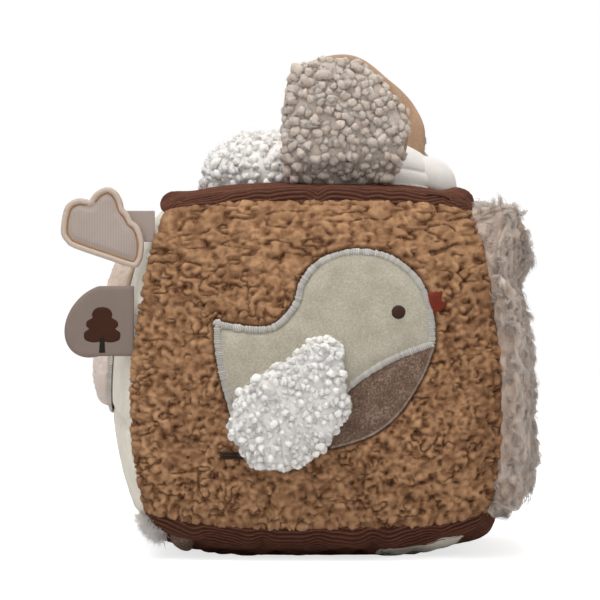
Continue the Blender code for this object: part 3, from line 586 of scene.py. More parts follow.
# Polyester velour, cut short and brushed: pale, with brushing marks and a soft rim of light
creamVelour = clothMaterial("creamVelourPolyester", "cream_velour", "#8f8875", "#a59e8e", "#bbb5a6", 0.85, 0.3,
                            0.75, 0.10, 8.0, 0.8, 0.22)
# the side panels' cream velour is lighter than the bird's: partly its own paler colour and partly painted light for the
# dimmer left side
leftVelour = clothMaterial("sideVelourPolyester", "cream_velour", "#c8c0b0", "#dcd5c7", "#ece7dc", 0.85, 0.3,
                           0.75, 0.10, 8.0, 0.8, 0.25)
faceVelour = clothMaterial("faceVelourPolyester", "cream_velour", "#d8d1c9", "#eae5df", "#f6f3ef", 0.85, 0.35,
                           0.6, 0.08, 8.0, 0.7, 0.3)
taupeVelour = clothMaterial("taupeVelourPolyester", "taupe_velour", "#43332b", "#634e41", "#8b7767", 0.85,
                            0.35, 0.75, 0.10, 6.0, 0.85, 0.18)
tanVelour = clothMaterial("tanVelourPolyester", "tan_velour", "#8c6d54", "#ab8c71", "#c8ac93", 0.85, 0.4, 0.6,
                          0.08, 9.0, 0.6, 0.3)
blushPile = clothMaterial("blushPilePolyester", "white_curl_pile", "#b09e94", "#d3c3b9", "#e8ddd5", 0.9, 0.3,
                          0.6, 0.12, 5.0, 0.4)
# Polyester sherpa, its loops burst into curls: white and grey, soft all through
whiteCurl = clothMaterial("whiteSherpaPolyester", "white_curl_pile", "#eee6dd", "#f6f0e9", "#fdfaf6", 0.9, 0.3,
                          0.5, 0.06, 8.0, 0.25, scatterDepth=6.0)
greyCurl = clothMaterial("greySherpaPolyester", "grey_curl_pile", "#b0a296", "#bdafa3", "#cfc3b9", 0.9, 0.3,
                         0.5, 0.06, 9.0, 0.3, scatterDepth=4.0)
# Trilobal polyester embroidery thread: tight satin stitches with a silky shine
greyThread = clothMaterial("greyThreadPolyester", "grey_thread", "#8a867f", "#b6b2ab", "#dcd9d3", 0.5, 0.1,
                           0.3, 0.03, 5.0, 0.25)
taupeThread = clothMaterial("taupeThreadPolyester", "taupe_velour", "#65534a", "#937f72", "#bfaea2", 0.5, 0.1,
                            0.3, 0.03, 5.0, 0.25)
brownThread = clothMaterial("brownThreadPolyester", "dark_thread", "#120501", "#2c1206", "#4c2712", 0.6, 0.0,
                            0.3, 0.03, 4.0, 0.4)
redThread = clothMaterial("rustThreadPolyester", "red_thread", "#430e02", "#6a2009", "#933a1a", 0.6, 0.0, 0.3,
                          0.03, 4.0, 0.4)
tanThread = clothMaterial("tanThreadPolyester", "tan_velour", "#7a5636", "#9a7350", "#b68f69", 0.5, 0.1, 0.3,
                          0.03, 4.0, 0.4)
# Woven polyester ribbon with fine upright ribs, and a brushed twill tape
ribbedRibbon = clothMaterial("ribbedRibbonPolyester", "taupe_ribbon", "#87776e", "#9f9087", "#b6aaa1", 0.55,
                             0.15, 0.3, 0.05, 9.0, 0.3,
                             ribs=(0.62, 0.0, 0.25))
rimSatin = clothMaterial("rimSatinPolyester", "taupe_ribbon", "#98867a", "#b5a395", "#cfc1b5", 0.5, 0.2, 0.3,
                         0.04, 9.0, 0.4)
twillTape = clothMaterial("twillTapePolyester", "taupe_ribbon", "#5d4f48", "#796a62", "#8f8078", 0.6, 0.15,
                          0.3, 0.05, 8.0, 0.25,
                          ribs=(0.6, 48.0, 0.3))
# Siliconised polyester fibre, as loose filling
fibreFill = clothMaterial("fibreFillPolyester", "batting", "#d0d0cb", "#e2e2de", "#f2f2ef", 0.8, 0.3, 1.2, 0.2,
                          14.0, 0.6)
print("materials made")


# Panels: each rolls over at its seams, and its seam allowance turns inward

panelRim = {"radius": 1.3, "turn": 1.9, "allowance": 3.0, "steps": 9}


def alongCloth(points):  # distances over a grid of points from its middle lines, one way and the other
    runs = []
    for k in (0, 1):
        run = np.cumsum(np.linalg.norm(np.diff(points, axis=k, prepend=np.take(points, [0], k)), axis=-1), k) / mm
        runs.append(run - np.take(run, [run.shape[k] // 2], k))
    return runs


def panelSheet(name, face, cellsA, cellsB, coarse, fine, material, node, spill=0.0):
    # coarse gives the heights of folds, and fine those of ribs or pile over distances along the cloth
    half = blockShape["bottomHalfWidth"]
    radius, turned = panelRim["radius"] / half, panelRim["turn"]
    rollover = radius * turned
    lines = []
    for cells in (cellsA, cellsB):  # the grid is closer where the cloth rolls over
        inner = np.linspace(-1 + rollover, 1 - rollover, cells - 2 * panelRim["steps"] + 1)
        rolled = np.linspace(0, rollover, panelRim["steps"] + 1)[1:]
        lines.append(np.concatenate([-1 + rollover - rolled[::-1], inner, 1 - rollover + rolled]))
    a, b = np.meshgrid(*lines, indexing="ij")
    size = np.maximum(np.maximum(np.abs(a), np.abs(b)), 1e-9)
    turn = np.clip((size - 1 + rollover) / rollover, 0, 1) * turned
    rolled = 1 - radius + (radius + spill / half) * np.sin(turn)
    reach = np.where(turn > 0, rolled, size * (1 - radius) / (1 - rollover)) / size
    down = panelRim["radius"] * (1 - np.cos(turn))
    base = skinPoint(face, a * reach, b * reach)
    normals = skinNormal(face, a * reach, b * reach)
    points = aboveFloor(base + normals * ((coarse(a, b, base) - down) * mm)[..., None])
    along = alongCloth(points)
    normals = facingOut(face, np.cross(np.gradient(points, axis=0), np.gradient(points, axis=1)))
    height, tint = fine(a, b, points, *along)
    height = height * smoothStep(turned, turned * 0.75, turn)
    points = aboveFloor(points + normals * (height * mm)[..., None])
    index = np.arange(a.size).reshape(a.shape)
    ring = np.concatenate([side[:-1] for side in (index[0, :], index[:, -1], index[-1, ::-1], index[::-1, 0])])
    border = points.reshape(-1, 3)[ring]
    hemmed = border + unit(blockMiddle - border) * panelRim["allowance"] * mm
    inner = a.size + np.arange(len(ring))
    hem = stacked(ring, np.roll(ring, -1), np.roll(inner, -1), inner)
    # the turned-in seam allowance gets a low tint, painted darker as painted shade in the seams
    made = makeMesh(name, np.concatenate([points.reshape(-1, 3), hemmed]), [gridFaces(*a.shape), hem], material,
                    np.concatenate([tint.ravel(), np.full(len(ring), 0.2)]), (node,))
    return points, normals, height


birdShape = {"width": 84.5, "height": 76.5, "middle": (2.5, 81.9), "edging": 2.6, "fineEdging": 1.3}
birdBodyShares = (
    (-0.496, 0.142), (-0.331, 0.113), (-0.227, 0.129), (-0.144, 0.228), (-0.114, 0.336),
    (-0.040, 0.436), (0.073, 0.490), (0.178, 0.500), (0.298, 0.469), (0.403, 0.386),
    (0.463, 0.286), (0.496, 0.146), (0.500, 0.013), (0.336, -0.053), (0.223, -0.119),
    (0.110, -0.210), (0.015, -0.345), (-0.015, -0.490), (-0.130, -0.500), (-0.290, -0.452),
    (-0.414, -0.343), (-0.444, -0.260), (-0.481, -0.110), (-0.500, 0.055))
bellyEdgeShares = (
    (0.030, -0.497), (0.110, -0.475), (0.223, -0.426), (0.336, -0.326), (0.440, -0.152), (0.486, -0.030),
    (0.500, 0.013))


def birdPoints(shares):
    return sized(shares, birdShape["width"], birdShape["height"], birdShape["middle"])


birdCorners = (0, 12, 17)
lineSteps = 8
birdBody = smoothCurve(birdPoints(birdBodyShares), lineSteps, corners=birdCorners)
bellySeam = birdBody[birdCorners[1] * lineSteps:birdCorners[2] * lineSteps + 1]
bellyEdge = smoothCurve(birdPoints(bellyEdgeShares), lineSteps, closed=False)
bellyLine = np.concatenate([bellySeam[:-1], bellyEdge])
birdAll = np.concatenate([birdBody[:birdCorners[1] * lineSteps], bellyEdge[::-1][:-1],
                          birdBody[birdCorners[2] * lineSteps:]])


# Front panel: brown teddy fleece, in long rolls near the top and smaller clumps lower down
fleece = {"cells": 312, "cell": 0.33, "spacing": 1.75, "length": 3.0, "radius": 1.15, "lift": 1.1, "bend": 0.25,
          "stray": 0.9, "steps": 14, "softening": 1, "creaseDepth": 1.25, "creaseWidth": 0.05, "spill": 0.3,
          "longRollsFrom": 95, "longRollsFull": 128, "fibres": 9000, "pieces": 4, "fibreLength": 1.7,
          "fibreRadius": 0.07, "fibresAbove": 1.0, "seed": 11}


def nearTop(x, z):  # 1 near the upper seam, where the rolls are longer, and 0 lower down
    return smoothStep(fleece["longRollsFrom"], fleece["longRollsFull"], z + 12 * (softNoise(x, z, 25, 3) - 0.5))


fleecePile = pileField((-80.0, 5.0), (80.0, 150.0), fleece,
                       lambda flat: 0.5 * (flatNoise(flat, (20, 12), 5) - 0.5),
                       lambda flat: 1 + 1.1 * nearTop(flat[:, 0], flat[:, 1]))


def fleeceCreases(x, z):  # winding lines where the pile parts, level and longer near the upper seam
    high = nearTop(x, z)
    small, level = softNoise(x, z, (3.1, 2.8), 37, 2), softNoise(x, z, (8, 2.7), 41, 2)
    deep = 0.25 + 0.75 * smoothStep(0.35, 0.7, softNoise(x, z, (3.6, 3.2), 43) + 0.12 * high)
    return deep * np.exp(-(np.abs(small + (level - small) * high - 0.5) / fleece["creaseWidth"]) ** 2)


def fleeceFine(a, b, points, alongA, alongB):
    x, z = points[..., 0] / mm, points[..., 2] / mm
    bent = 1.3 * (softNoise(x, z, 4, 17) - 0.5), 1.3 * (softNoise(x, z, 4, 19) - 0.5)
    pile = fleecePile(x + bent[0], z + bent[1])
    height = 0.88 * pile + 0.26 * softNoise(x, z, 0.9, 23, 2) + 0.35 * softNoise(x, z, 9, 29)
    height = np.maximum(height - fleece["creaseDepth"] * fleeceCreases(x, z), 0)
    flat = stacked(x.ravel(), z.ravel())
    near = np.abs(flat - birdShape["middle"]).max(1) < 0.56 * birdShape["width"]
    free = np.ones(len(flat))
    apart = edgeDistance(flat[near], birdAll)
    free[near] = np.where(insideLine(flat[near], birdAll), 0.0, smoothStep(-0.8, 1.6, apart))
    free = free.reshape(a.shape)
    # the tint follows the pile's height: painted shade in the hollows and creases, painted light on the tops, with a
    # little random tone
    tint = np.clip(0.42 * height - 0.04 + 0.16 * (softNoise(x, z, 3, 31) - 0.5), 0, 1)
    # the tint is also scaled by free, so the fleece is painted darker right beside the bird's edging, as painted shade
    return height * free, tint * (0.4 + 0.6 * free)


fleecePoints, fleeceNormals, fleeceHeight = panelSheet(
    "front_fleece", "front", fleece["cells"], fleece["cells"], lambda a, b, base: 0.0, fleeceFine, teddyFleece,
    "front_panel", fleece["spill"])


def fleeceFibres():
    rng = np.random.default_rng(fleece["seed"])
    high = np.flatnonzero(fleeceHeight.ravel() > fleece["fibresAbove"])
    for k in range(fleece["pieces"]):
        chosen = rng.choice(high, fleece["fibres"])
        count = len(chosen)
        up = fleeceNormals.reshape(-1, 3)[chosen]
        roots = fleecePoints.reshape(-1, 3)[chosen] + rng.normal(scale=0.2 * mm, size=(count, 3)) - up * 0.35 * mm
        heads = unit(up * rng.uniform(0.25, 0.9, (count, 1)) + acrossOf(up, rng))
        bends = acrossOf(up, rng) * 0.7 - up * rng.uniform(0.1, 0.6, (count, 1))
        lengths = fleece["fibreLength"] * mm * rng.uniform(0.45, 1.0, count)
        lines = bentLines(roots, heads, bends, lengths, 4)
        strands("front_fleece_fibres_%d" % (k + 1), lines, fleece["fibreRadius"], up, teddyFleece,
                0.45 + 0.45 * rng.random(count))


fleeceFibres()
print("front panel made")


# Top and bottom panels: dark corduroy, its ribs from left to right, rolled and puckered where it is sewn in
cord = {"ribPitch": 1.9, "ribHeight": 0.75, "cells": (130, 420), "rollReach": 6.0, "rollEnd": 17.0, "pucker": 1.3}


def cordFolds(roll, seed, bumpX):  # roll is the height of the fold along the seams, fuller round bumpX
    def coarse(a, b, base):
        x, y = base[..., 0] / mm, base[..., 1] / mm
        away = (1 - np.maximum(np.abs(a), np.abs(b))) * blockShape["bottomHalfWidth"]
        rolled = smoothStep(-1.5, cord["rollReach"], away) * smoothStep(cord["rollEnd"], cord["rollReach"], away)
        rolled = rolled * (1 - 0.8 * smoothStep(0.78, 0.98, np.minimum(np.abs(a), np.abs(b))))
        wave = 1 + 1.1 * (softNoise(x, y, 17, seed) - 0.5)
        if bumpX is not None:
            wave = wave + 1.3 * np.exp(-((x - bumpX) / 11) ** 2)
        pucker = cord["pucker"] * (softNoise(x, y, (6.5, 12), seed + 2, 2) - 0.5) * np.exp(-away / 6)
        return roll * rolled * wave + pucker + 0.5 * (softNoise(x, y, 16, seed + 4) - 0.5)
    return coarse


def cordRibs(seed):
    def fine(a, b, points, alongA, alongB):
        x, y = points[..., 0] / mm, points[..., 1] / mm
        edge = (1 - np.abs(b)) * 4
        gathered = 1.6 * (softNoise(x, y, (9, 18), seed + 8, 2) - 0.5) * np.exp(-edge)
        shifted = alongB + gathered + 0.4 * softNoise(x, y, (7, 9), seed)
        rib = (0.5 + 0.5 * np.cos(2 * math.pi * shifted / cord["ribPitch"])) ** 0.8
        nap = softNoise(x, shifted, (1.0, 0.5), seed + 12, 2)
        # the tint follows the rib: painted shade in the valleys and painted light on the rib tops, with the nap's own
        # tone varying over it
        return cord["ribHeight"] * rib * (0.8 + 0.4 * nap), np.clip(0.06 + 0.66 * rib + 0.3 * (nap - 0.3), 0, 1)
    return fine


for face, roll, seed, bumpX in (("top", 2.3, 31, 50.0), ("bottom", 2.0, 47, None)):
    panelSheet(face + "_corduroy", face, *cord["cells"], cordFolds(roll, seed, bumpX), cordRibs(seed), corduroy,
               face + "_panel")
print("corduroy panels made")


# Left and back panels: cream velour, with a crease low on the left one where the stuffing gives way
velour = {"cells": (170, 170), "wrinkle": 1.1, "creaseHeight": 52.0, "creaseDepth": 1.8, "creaseWidth": 2.2,
          "napHeight": 0.10}


def velourFolds(seed, creased):
    def coarse(a, b, base):
        x, y, z = (base[..., k] / mm for k in range(3))
        s = y if creased else x
        close = np.exp(-(1 - np.maximum(np.abs(a), np.abs(b))) / 0.12)
        folds = (softNoise(s, z, 9, seed, 2) - 0.5) * close * 2 + 0.7 * (softNoise(s, z, 30, seed + 3) - 0.5)
        height = velour["wrinkle"] * folds
        if creased:
            line = z - velour["creaseHeight"] - 0.12 * (y + 60) + 1.5 * softNoise(y, z * 0, 14, seed + 9)
            crease = velour["creaseDepth"] * np.exp(-(line / velour["creaseWidth"]) ** 2)
            height = height - crease * smoothStep(0.5, -0.8, a)
        return height
    return coarse


def velourNap(seed):
    def fine(a, b, points, alongA, alongB):
        nap = softNoise(alongA, alongB, 0.9, seed, 2)
        return velour["napHeight"] * nap, 0.38 + 0.3 * softNoise(alongA, alongB, 5, seed + 12, 2)
    return fine


for face, seed, creased in (("left", 61, True), ("back", 71, False)):
    panelSheet(face + "_velour", face, *velour["cells"], velourFolds(seed, creased), velourNap(seed), leftVelour,
               face + "_panel")
print("velour panels made")


# Right panel: long plush. A clumped undercoat carries locks of crimped strands that fall over the seams
plush = {"height": 16.5, "undercoat": 0.90, "overhang": 14.5, "overhangBelow": 7.5, "cornerShare": 0.12, "cells": 230,
         "cell": 0.5, "spacing": 3.2, "radius": 2.1, "lift": 1.4, "bend": 0.15, "stray": 0.7, "length": 8.5,
         "steps": 16, "softening": 2, "sink": 2.6, "locks": 3000, "strandsPerLock": 18, "strandSteps": 6,
         "lockLength": 6.0, "lockRadius": 0.85, "wave": 0.9, "strandRadius": 0.09, "pieces": 9, "seed": 83}
tuckedEdge = 1.12  # how far past the seams, at 1, the undercoat goes on under the other panels
plushReach = (0.0, 0.34, 0.68, 0.95, 1.0, tuckedEdge)
plushLift = (0.94, 0.86, 0.74, 0.64, 0.47, -0.12)  # shares of the pile's height at those places


def plushPoint(a, b, share):
    size = np.maximum(np.maximum(np.abs(a), np.abs(b)), 1e-6)
    corner = plush["cornerShare"] * (np.abs(a * b) / size ** 2) ** 3
    spill = np.where(-b >= size, plush["overhangBelow"], plush["overhang"]) / blockShape["bottomHalfWidth"]
    lift = np.interp(size, plushReach, plushLift) * share
    towardsSeams = 1.15 * smoothStep(0.47, 1.0, b) + 0.40 * smoothStep(0.4, 1.0, -b)
    lift = lift + towardsSeams * smoothStep(tuckedEdge, 0.95, size)
    past = (spill * share - corner) * np.interp(size, plushReach, (0, 0, 0, 0.6, 1.0, 0.0))
    reach = np.minimum(size, 1.0) - 0.02 * smoothStep(1.0, tuckedEdge, size)
    middle = (blockShape["bottomHalfWidth"] + blockShape["topHalfWidth"]) / 2 + blockShape["uprightBowX"] + 5
    level = 1 + lift * plush["height"] / middle
    spread = (reach + past) / size
    return aboveFloor(warp(*cubePlace("right", a * spread, b * spread, level)), 0.0015)


def combed(y, z):  # the way the pile lies, mostly down
    return -math.pi / 2 + 3.6 * (softNoise(y, z, 15, 7) - 0.5)


def makePlush():
    rng = np.random.default_rng(plush["seed"])
    line = np.linspace(-tuckedEdge, tuckedEdge, plush["cells"] + 1)
    a, b = np.meshgrid(line, line, indexing="ij")
    points = plushPoint(a, b, plush["undercoat"])
    normals = unit(np.cross(np.gradient(points, axis=0), np.gradient(points, axis=1)))
    pile = pileField((-120.0, -120.0), (120.0, 120.0), plush, lambda flat: combed(flat[:, 0], flat[:, 1]),
                     lambda flat: np.ones(len(flat)))
    y, z = alongCloth(points)
    lumps = pile(y, z)
    shown = smoothStep(tuckedEdge, 1.05, np.maximum(np.abs(a), np.abs(b)))
    bulge = lumps / (plush["radius"] + plush["lift"])
    lumps = lumps + 0.9 * (softNoise(y, z, 1.6, 9, 2) - 0.5)
    points = aboveFloor(points + normals * ((lumps - plush["sink"]) * shown * mm)[..., None], 0.001)
    normals = unit(np.cross(np.gradient(points, axis=0), np.gradient(points, axis=1)))
    # the undercoat's tint follows its lumps, painted darker in the hollows between them as painted shade
    coat = makeMesh("right_plush_undercoat", points, [gridFaces(*a.shape)], longPlush,
                    np.clip(0.05 + 0.65 * bulge, 0, 1), ("right_panel",))
    outer = np.maximum(np.abs(a), np.abs(b)).ravel()
    chosen = rng.choice(np.flatnonzero(outer < 1.1), plush["locks"])
    places, ups = points.reshape(-1, 3)[chosen], normals.reshape(-1, 3)[chosen]
    swing = combed(y.ravel()[chosen], z.ravel()[chosen]) + rng.normal(scale=0.5, size=len(chosen))
    lay = stacked(np.zeros(len(chosen)), np.cos(swing), np.sin(swing))
    edgeward = stacked(np.zeros(len(chosen)), a.ravel()[chosen], b.ravel()[chosen])
    lay = lay + edgeward * smoothStep(0.8, 1.0, outer[chosen])[:, None] * 0.8
    lay = unit(lay - ups * (lay * ups).sum(1, keepdims=True))
    makeLocks(places, ups, lay, rng)


def makeLocks(places, ups, lay, rng):  # each lock is a bundle of strands that wave together and close in at their tips
    count, steps = plush["strandsPerLock"], plush["strandSteps"]
    t = np.linspace(0, 1, steps)[None, None, :, None]
    shape = (len(places), 1, 1, 1)
    each = (len(places), count, 1, 1)
    spread = rng.normal(scale=plush["lockRadius"] * mm, size=(len(places), count, 1, 3))
    rise = rng.uniform(0.35, 0.75, shape)
    side = np.cross(ups, lay)[:, None, None, :]
    phase = rng.uniform(0, 6.3, shape) + rng.normal(scale=0.35, size=each)
    curl = rng.uniform(0.5, 1.1, shape) * 2 * math.pi
    length = plush["lockLength"] * mm * rng.uniform(0.6, 1.15, shape) * rng.uniform(0.8, 1.1, each)
    up, along = ups[:, None, None, :], lay[:, None, None, :]
    lines = places[:, None, None, :] - up * mm + spread * (1 - 0.55 * t)
    lines = lines + length * (along * t + up * rise * (t - 0.95 * t ** 2))
    wave = side * (np.sin(phase + curl * t) - np.sin(phase)) * plush["wave"] * mm
    lines = lines + wave + up * np.cos(phase + curl * t) * 0.35 * mm
    lines = aboveFloor(lines + rng.normal(scale=0.10 * mm, size=lines.shape) * t, 0.0008)
    tints = rng.uniform(0.4, 0.85, (len(places), 1)) + rng.normal(scale=0.10, size=(len(places), count))
    for k in range(plush["pieces"]):
        part = slice(k, None, plush["pieces"])
        strands("right_plush_%d" % (k + 1), lines[part].reshape(-1, steps, 3), plush["strandRadius"],
                np.repeat(ups[part], count, axis=0), longPlush, np.clip(tints[part], 0, 1).ravel())


makePlush()
print("plush panel made")


# Patches and embroidery

satin = {"pitch": 0.66, "edgePitch": 0.9, "linePitch": 0.5, "embroideryPitch": 0.6}


def declareCloth(piece, line):
    abs(float(lineArea(line))) * mm * mm


def cutPiece(name, flat, triangles, place, low, high, material, tint, replaces=(), body="block"):
    # a closed piece between two heights over flat points
    low, high = np.broadcast_to(low, len(flat)), np.broadcast_to(high, len(flat))
    points, faces = shell(flat, triangles, place, low, high)
    if tint is not None:
        tint = np.tile(np.broadcast_to(tint, len(flat)), 2)
    return makeMesh(name, points, faces, material, tint, replaces, body), points, faces


def satinBand(name, line, width, height, low, place, material, replaces=(), pitch=satin["pitch"], closed=True,
              body="block"):
    # threads laid side by side across a line; they are really about 0.4 mm apart, and drawn coarser to show
    rng = np.random.default_rng(len(line))
    line = evenly(line, pitch / 4, closed)
    normal = lineNormals(line, closed)
    count = len(line)
    across = np.linspace(-1, 1, 7)
    thread = 0.5 + 0.5 * np.cos(math.pi * np.arange(count) / 2)
    stitch = rng.normal(size=count // 4 + 2)[(np.arange(count) + 2) // 4]
    ends = 1 + 0.09 * stitch + 0.06 * (thread - 0.5)
    flat = line[:, None, :] + normal[:, None, :] * (across[None, :] * width / 2 * ends[:, None])[..., None]
    lift = low + height * np.sqrt(1 - 0.92 * across ** 2)[None, :] * (0.62 + 0.38 * thread)[:, None]
    under = np.full((count, 1), low)
    rows = np.concatenate([flat, flat[:, -1:], flat[:, :1]], 1)
    lifts = np.concatenate([lift, under, under], 1)
    points = place(rows.reshape(-1, 2), lifts.ravel()).reshape(count, -1, 3)
    size = points.shape[1]
    index = np.arange(count * size).reshape(count, size)
    here, ahead = (index, np.roll(index, -1, 0)) if closed else (index[:-1], index[1:])
    walls = stacked(here, ahead, np.roll(ahead, -1, 1), np.roll(here, -1, 1)).reshape(-1, 4)
    faces = [walls] if closed else [walls, index[:1, ::-1], index[-1:]]
    # each thread is painted lighter where it rides high and darker where it lies low, as painted shade between the
    # threads; the stitch term is the threads' own tone
    tint = np.repeat(0.12 + 0.62 * thread + 0.10 * np.clip(stitch, -1.5, 1.5), size)
    makeMesh(name, points, faces, material, tint, replaces, body)


def puffed(name, line, place, spacing, low, thickness, puff, puffReach, material, replaces, seed,
           crease=None, body="block"):
    # a cloth patch that is sewn down at its edge and stands up inside it
    flat, triangles = fillLine(evenly(line, spacing), spacing)
    apart = edgeDistance(flat, line)
    rise = puff * smoothStep(-0.3 * puffReach, puffReach, apart) * (0.85 + 0.3 * flatNoise(flat, 12, seed))
    if crease is not None:
        rise = rise - crease(flat, apart)
    high = low + thickness + np.maximum(rise, 0) + 0.10 * flatNoise(flat, 0.9, seed + 2, 2)
    tint = 0.36 + 0.3 * flatNoise(flat, 4.5, seed + 4, 2)
    made = cutPiece(name, flat, triangles, place, low, high, material, tint, replaces, body)[0]
    declareCloth(made, line)


def embroidered(name, line, place, low, rise, slant, material, replaces):
    # satin threads side by side at a slant, over a small mound of padding
    pitch = satin["embroideryPitch"]
    flat, triangles = fillLine(evenly(line, pitch * 0.5), pitch * 0.45)
    across = flat @ (math.cos(math.radians(slant)), math.sin(math.radians(slant)))
    thread = 0.5 + 0.5 * np.cos(2 * math.pi * across / pitch)
    high = low + rise * (0.35 + 0.65 * dome(domeShare(flat, line))) * (0.78 + 0.22 * thread)
    # the tint follows the threads: painted shade in the grooves between them and painted light on their tops
    cutPiece(name, flat, triangles, place, low, high, material, 0.2 + 0.6 * thread, replaces)


birdDetails = {"tuckedIn": 1.0, "eye": ((30.5, 95.9), 2.8, 2.75), "beakSize": (8.0, 8.8), "beakMiddle": (45.6, 100.0),
               "footThreads": 3, "footPoints": 14, "footFrom": -37.6, "footTo": -28.6, "footStep": 1.2,
               "footHeight": 42.1, "footPitch": 0.95, "footRadius": 0.42, "footLift": 2.4}
beakShares = ((-0.52, 0.34), (-0.1, 0.44), (0.28, 0.50), (0.24, 0.25), (0.20, 0.06), (0.50, -0.10), (0.40, -0.25),
              (0.24, -0.38), (0.04, -0.46), (-0.18, -0.50), (-0.52, -0.16))


def birdCrease(flat, apart):  # the line beside the stitches, deepest along the tail and the neck
    deep = smoothStep(6, -4, flat[:, 0]) * smoothStep(84, 90, flat[:, 1])
    return (0.15 + 0.75 * deep) * np.exp(-((apart - 1.9) / 0.55) ** 2)


def makeBirdFoot(place):
    s = birdDetails
    count, steps = s["footThreads"], s["footPoints"]
    lines = []
    for k in range(count):
        x = np.linspace(s["footFrom"], s["footTo"] + s["footStep"] * k, steps)
        lines.append(place(stacked(x, s["footHeight"] - s["footPitch"] * k + 0 * x), np.full(steps, s["footLift"])))
    radii = np.tile(s["footRadius"] * np.asarray([0.5] + [1] * (steps - 2) + [0.5]) * mm, (count, 1))
    points, faces = tubes(np.asarray(lines), radii, 8, np.tile([0.0, 1.0, 0.0], (count, 1)))
    makeMesh("bird_stitched_foot", points, faces, brownThread, np.full(len(points), 0.35), ("bird_foot",))


def makeBird():
    onFront = onPanel("front")
    body = leftAbout(birdBody)
    puffed("bird_velour", body - lineNormals(body) * birdDetails["tuckedIn"], onFront, 0.95, 0.3, 0.8, 1.7, 6.5,
           creamVelour, ("bird_body",), 91, birdCrease)
    puffed("bird_belly_velour", leftAbout(bellyLine), onFront, 0.95, 0.3, 1.1, 0.9, 5.0, taupeVelour,
           ("bird_belly",), 95)
    centre = body - lineNormals(body) * birdShape["edging"] / 2
    satinBand("bird_satin_edge", centre, birdShape["edging"], 1.3, 1.2, onFront, greyThread, ("bird_body_edging",))
    centre = bellyEdge - lineNormals(bellyEdge, False) * birdShape["fineEdging"] / 2
    satinBand("bird_belly_edge", centre, birdShape["fineEdging"], 0.9, 1.0, onFront, taupeThread,
              ("bird_belly_edging",), closed=False)
    embroidered("bird_satin_eye", ovalLine(*birdDetails["eye"], 0.4), onFront, 2.2, 1.5, 20, brownThread, ("bird_eye",))
    beak = leftAbout(sized(beakShares, *birdDetails["beakSize"], birdDetails["beakMiddle"]))
    embroidered("bird_satin_beak", evenly(beak, 0.5), onFront, 0.8, 1.7, 70, redThread, ("bird_beak",))
    makeBirdFoot(onFront)


makeBird()
print("bird made")


# Sherpa: a padded base, thick curls over it and fine fuzz on the curls

def curlCover(name, points, triangles, look, material, body):
    rng = np.random.default_rng(look["seed"])
    places, ups = scatter(points, triangles, look["tries"], rng)
    places, ups = thinOut(places, ups, look["spacing"] * mm)
    count, steps, sides = len(places), 9, 9
    along = acrossOf(ups, rng)
    axis = unit(ups + along * rng.normal(scale=look["tilt"], size=(count, 1)))
    dirA = unit(np.cross(axis, along + 1e-6))
    dirB = np.cross(axis, dirA)
    t = np.linspace(0, 1, steps)[None, :]
    size = look["size"] * mm * rng.uniform(0.65, 1.3, (count, 1))
    turn = rng.uniform(0, 2 * math.pi, (count, 1)) + 2 * math.pi * rng.uniform(*look["turns"], (count, 1)) * t
    ring = dirA[:, None, :] * np.cos(turn)[..., None] + dirB[:, None, :] * np.sin(turn)[..., None]
    centre = places + ups * rng.uniform(-0.3, 1.0, (count, 1)) * look["rise"] * mm
    lines = centre[:, None, :] + ring * (size * (0.8 + 0.35 * t))[..., None]
    lines = lines + axis[:, None, :] * (size * rng.uniform(-0.8, 0.8, (count, 1)) * (t - 0.5))[..., None]
    thick = look["thick"] * mm * rng.uniform(0.75, 1.25, (count, 1)) * np.sin(math.pi * (0.10 + 0.80 * t)) ** 0.6
    thick = np.maximum(thick * (1 + 0.10 * rng.normal(size=(count, steps))), 0.2 * mm)
    curlPoints, curlFaces = tubes(lines, thick, sides, axis)
    bumps = softNoise(curlPoints[:, 0] + curlPoints[:, 1], curlPoints[:, 2], (0.8 * mm, 0.7 * mm), 5, 2) - 0.5
    middle = np.repeat(lines.reshape(-1, 3), sides, axis=0)
    curlPoints = curlPoints + unit(curlPoints - middle) * (bumps * look["lumpy"] * mm)[:, None]
    tint = np.clip(rng.uniform(0.3, 0.75, (count, 1)) + 0.10 * rng.normal(size=(count, steps)), 0, 1)
    makeMesh(name + "_curls", curlPoints, curlFaces, material, np.repeat(tint, sides, axis=1), body=body)
    fuzz = look["fuzz"]
    which, where = rng.integers(0, count, fuzz), rng.integers(0, steps, fuzz)
    outward = unit(rng.normal(size=(fuzz, 3)) + 0.9 * ups[which])
    roots = lines[which, where] + outward * thick[which, where][:, None] * 0.85
    heads = unit(outward + 0.8 * rng.normal(size=(fuzz, 3)))
    bends = 0.9 * acrossOf(heads, rng) - 0.4 * outward
    lengths = look["fuzzLength"] * mm * rng.uniform(0.5, 1.2, fuzz)
    strands(name + "_fuzz", bentLines(roots, heads, bends, lengths, 3), 0.08, heads + bends, material,
            0.45 + 0.35 * rng.random(fuzz), body)


def sherpaPad(name, line, place, spacing, low, edge, rise, look, material, replaces, thin=None, body="block"):
    flat, triangles = fillLine(evenly(line, spacing), spacing)
    height = edge + rise * dome(domeShare(flat, line))
    if thin is not None:
        height = height * thin(flat)
    height = height * (0.94 + 0.12 * flatNoise(flat, 5, look["seed"]))
    made, points, faces = cutPiece(name, flat, triangles, place, low, low + height, material, 0.6, replaces, body)
    cover = np.concatenate([faces[0], faces[2][:, :3], faces[2][:, [0, 2, 3]]])
    if thin is not None:  # no curls right at the fold
        cover = cover[np.tile(thin(flat), 2)[cover].mean(1) > 0.3]
    curlCover(name, points, cover, look, material, body)


def thinTowards(root, reach):  # a fifth as thick at the fold, which is at root, and full from reach above or below it
    return lambda flat: np.clip((flat[:, 1] - root) / reach, 0.2, 1)


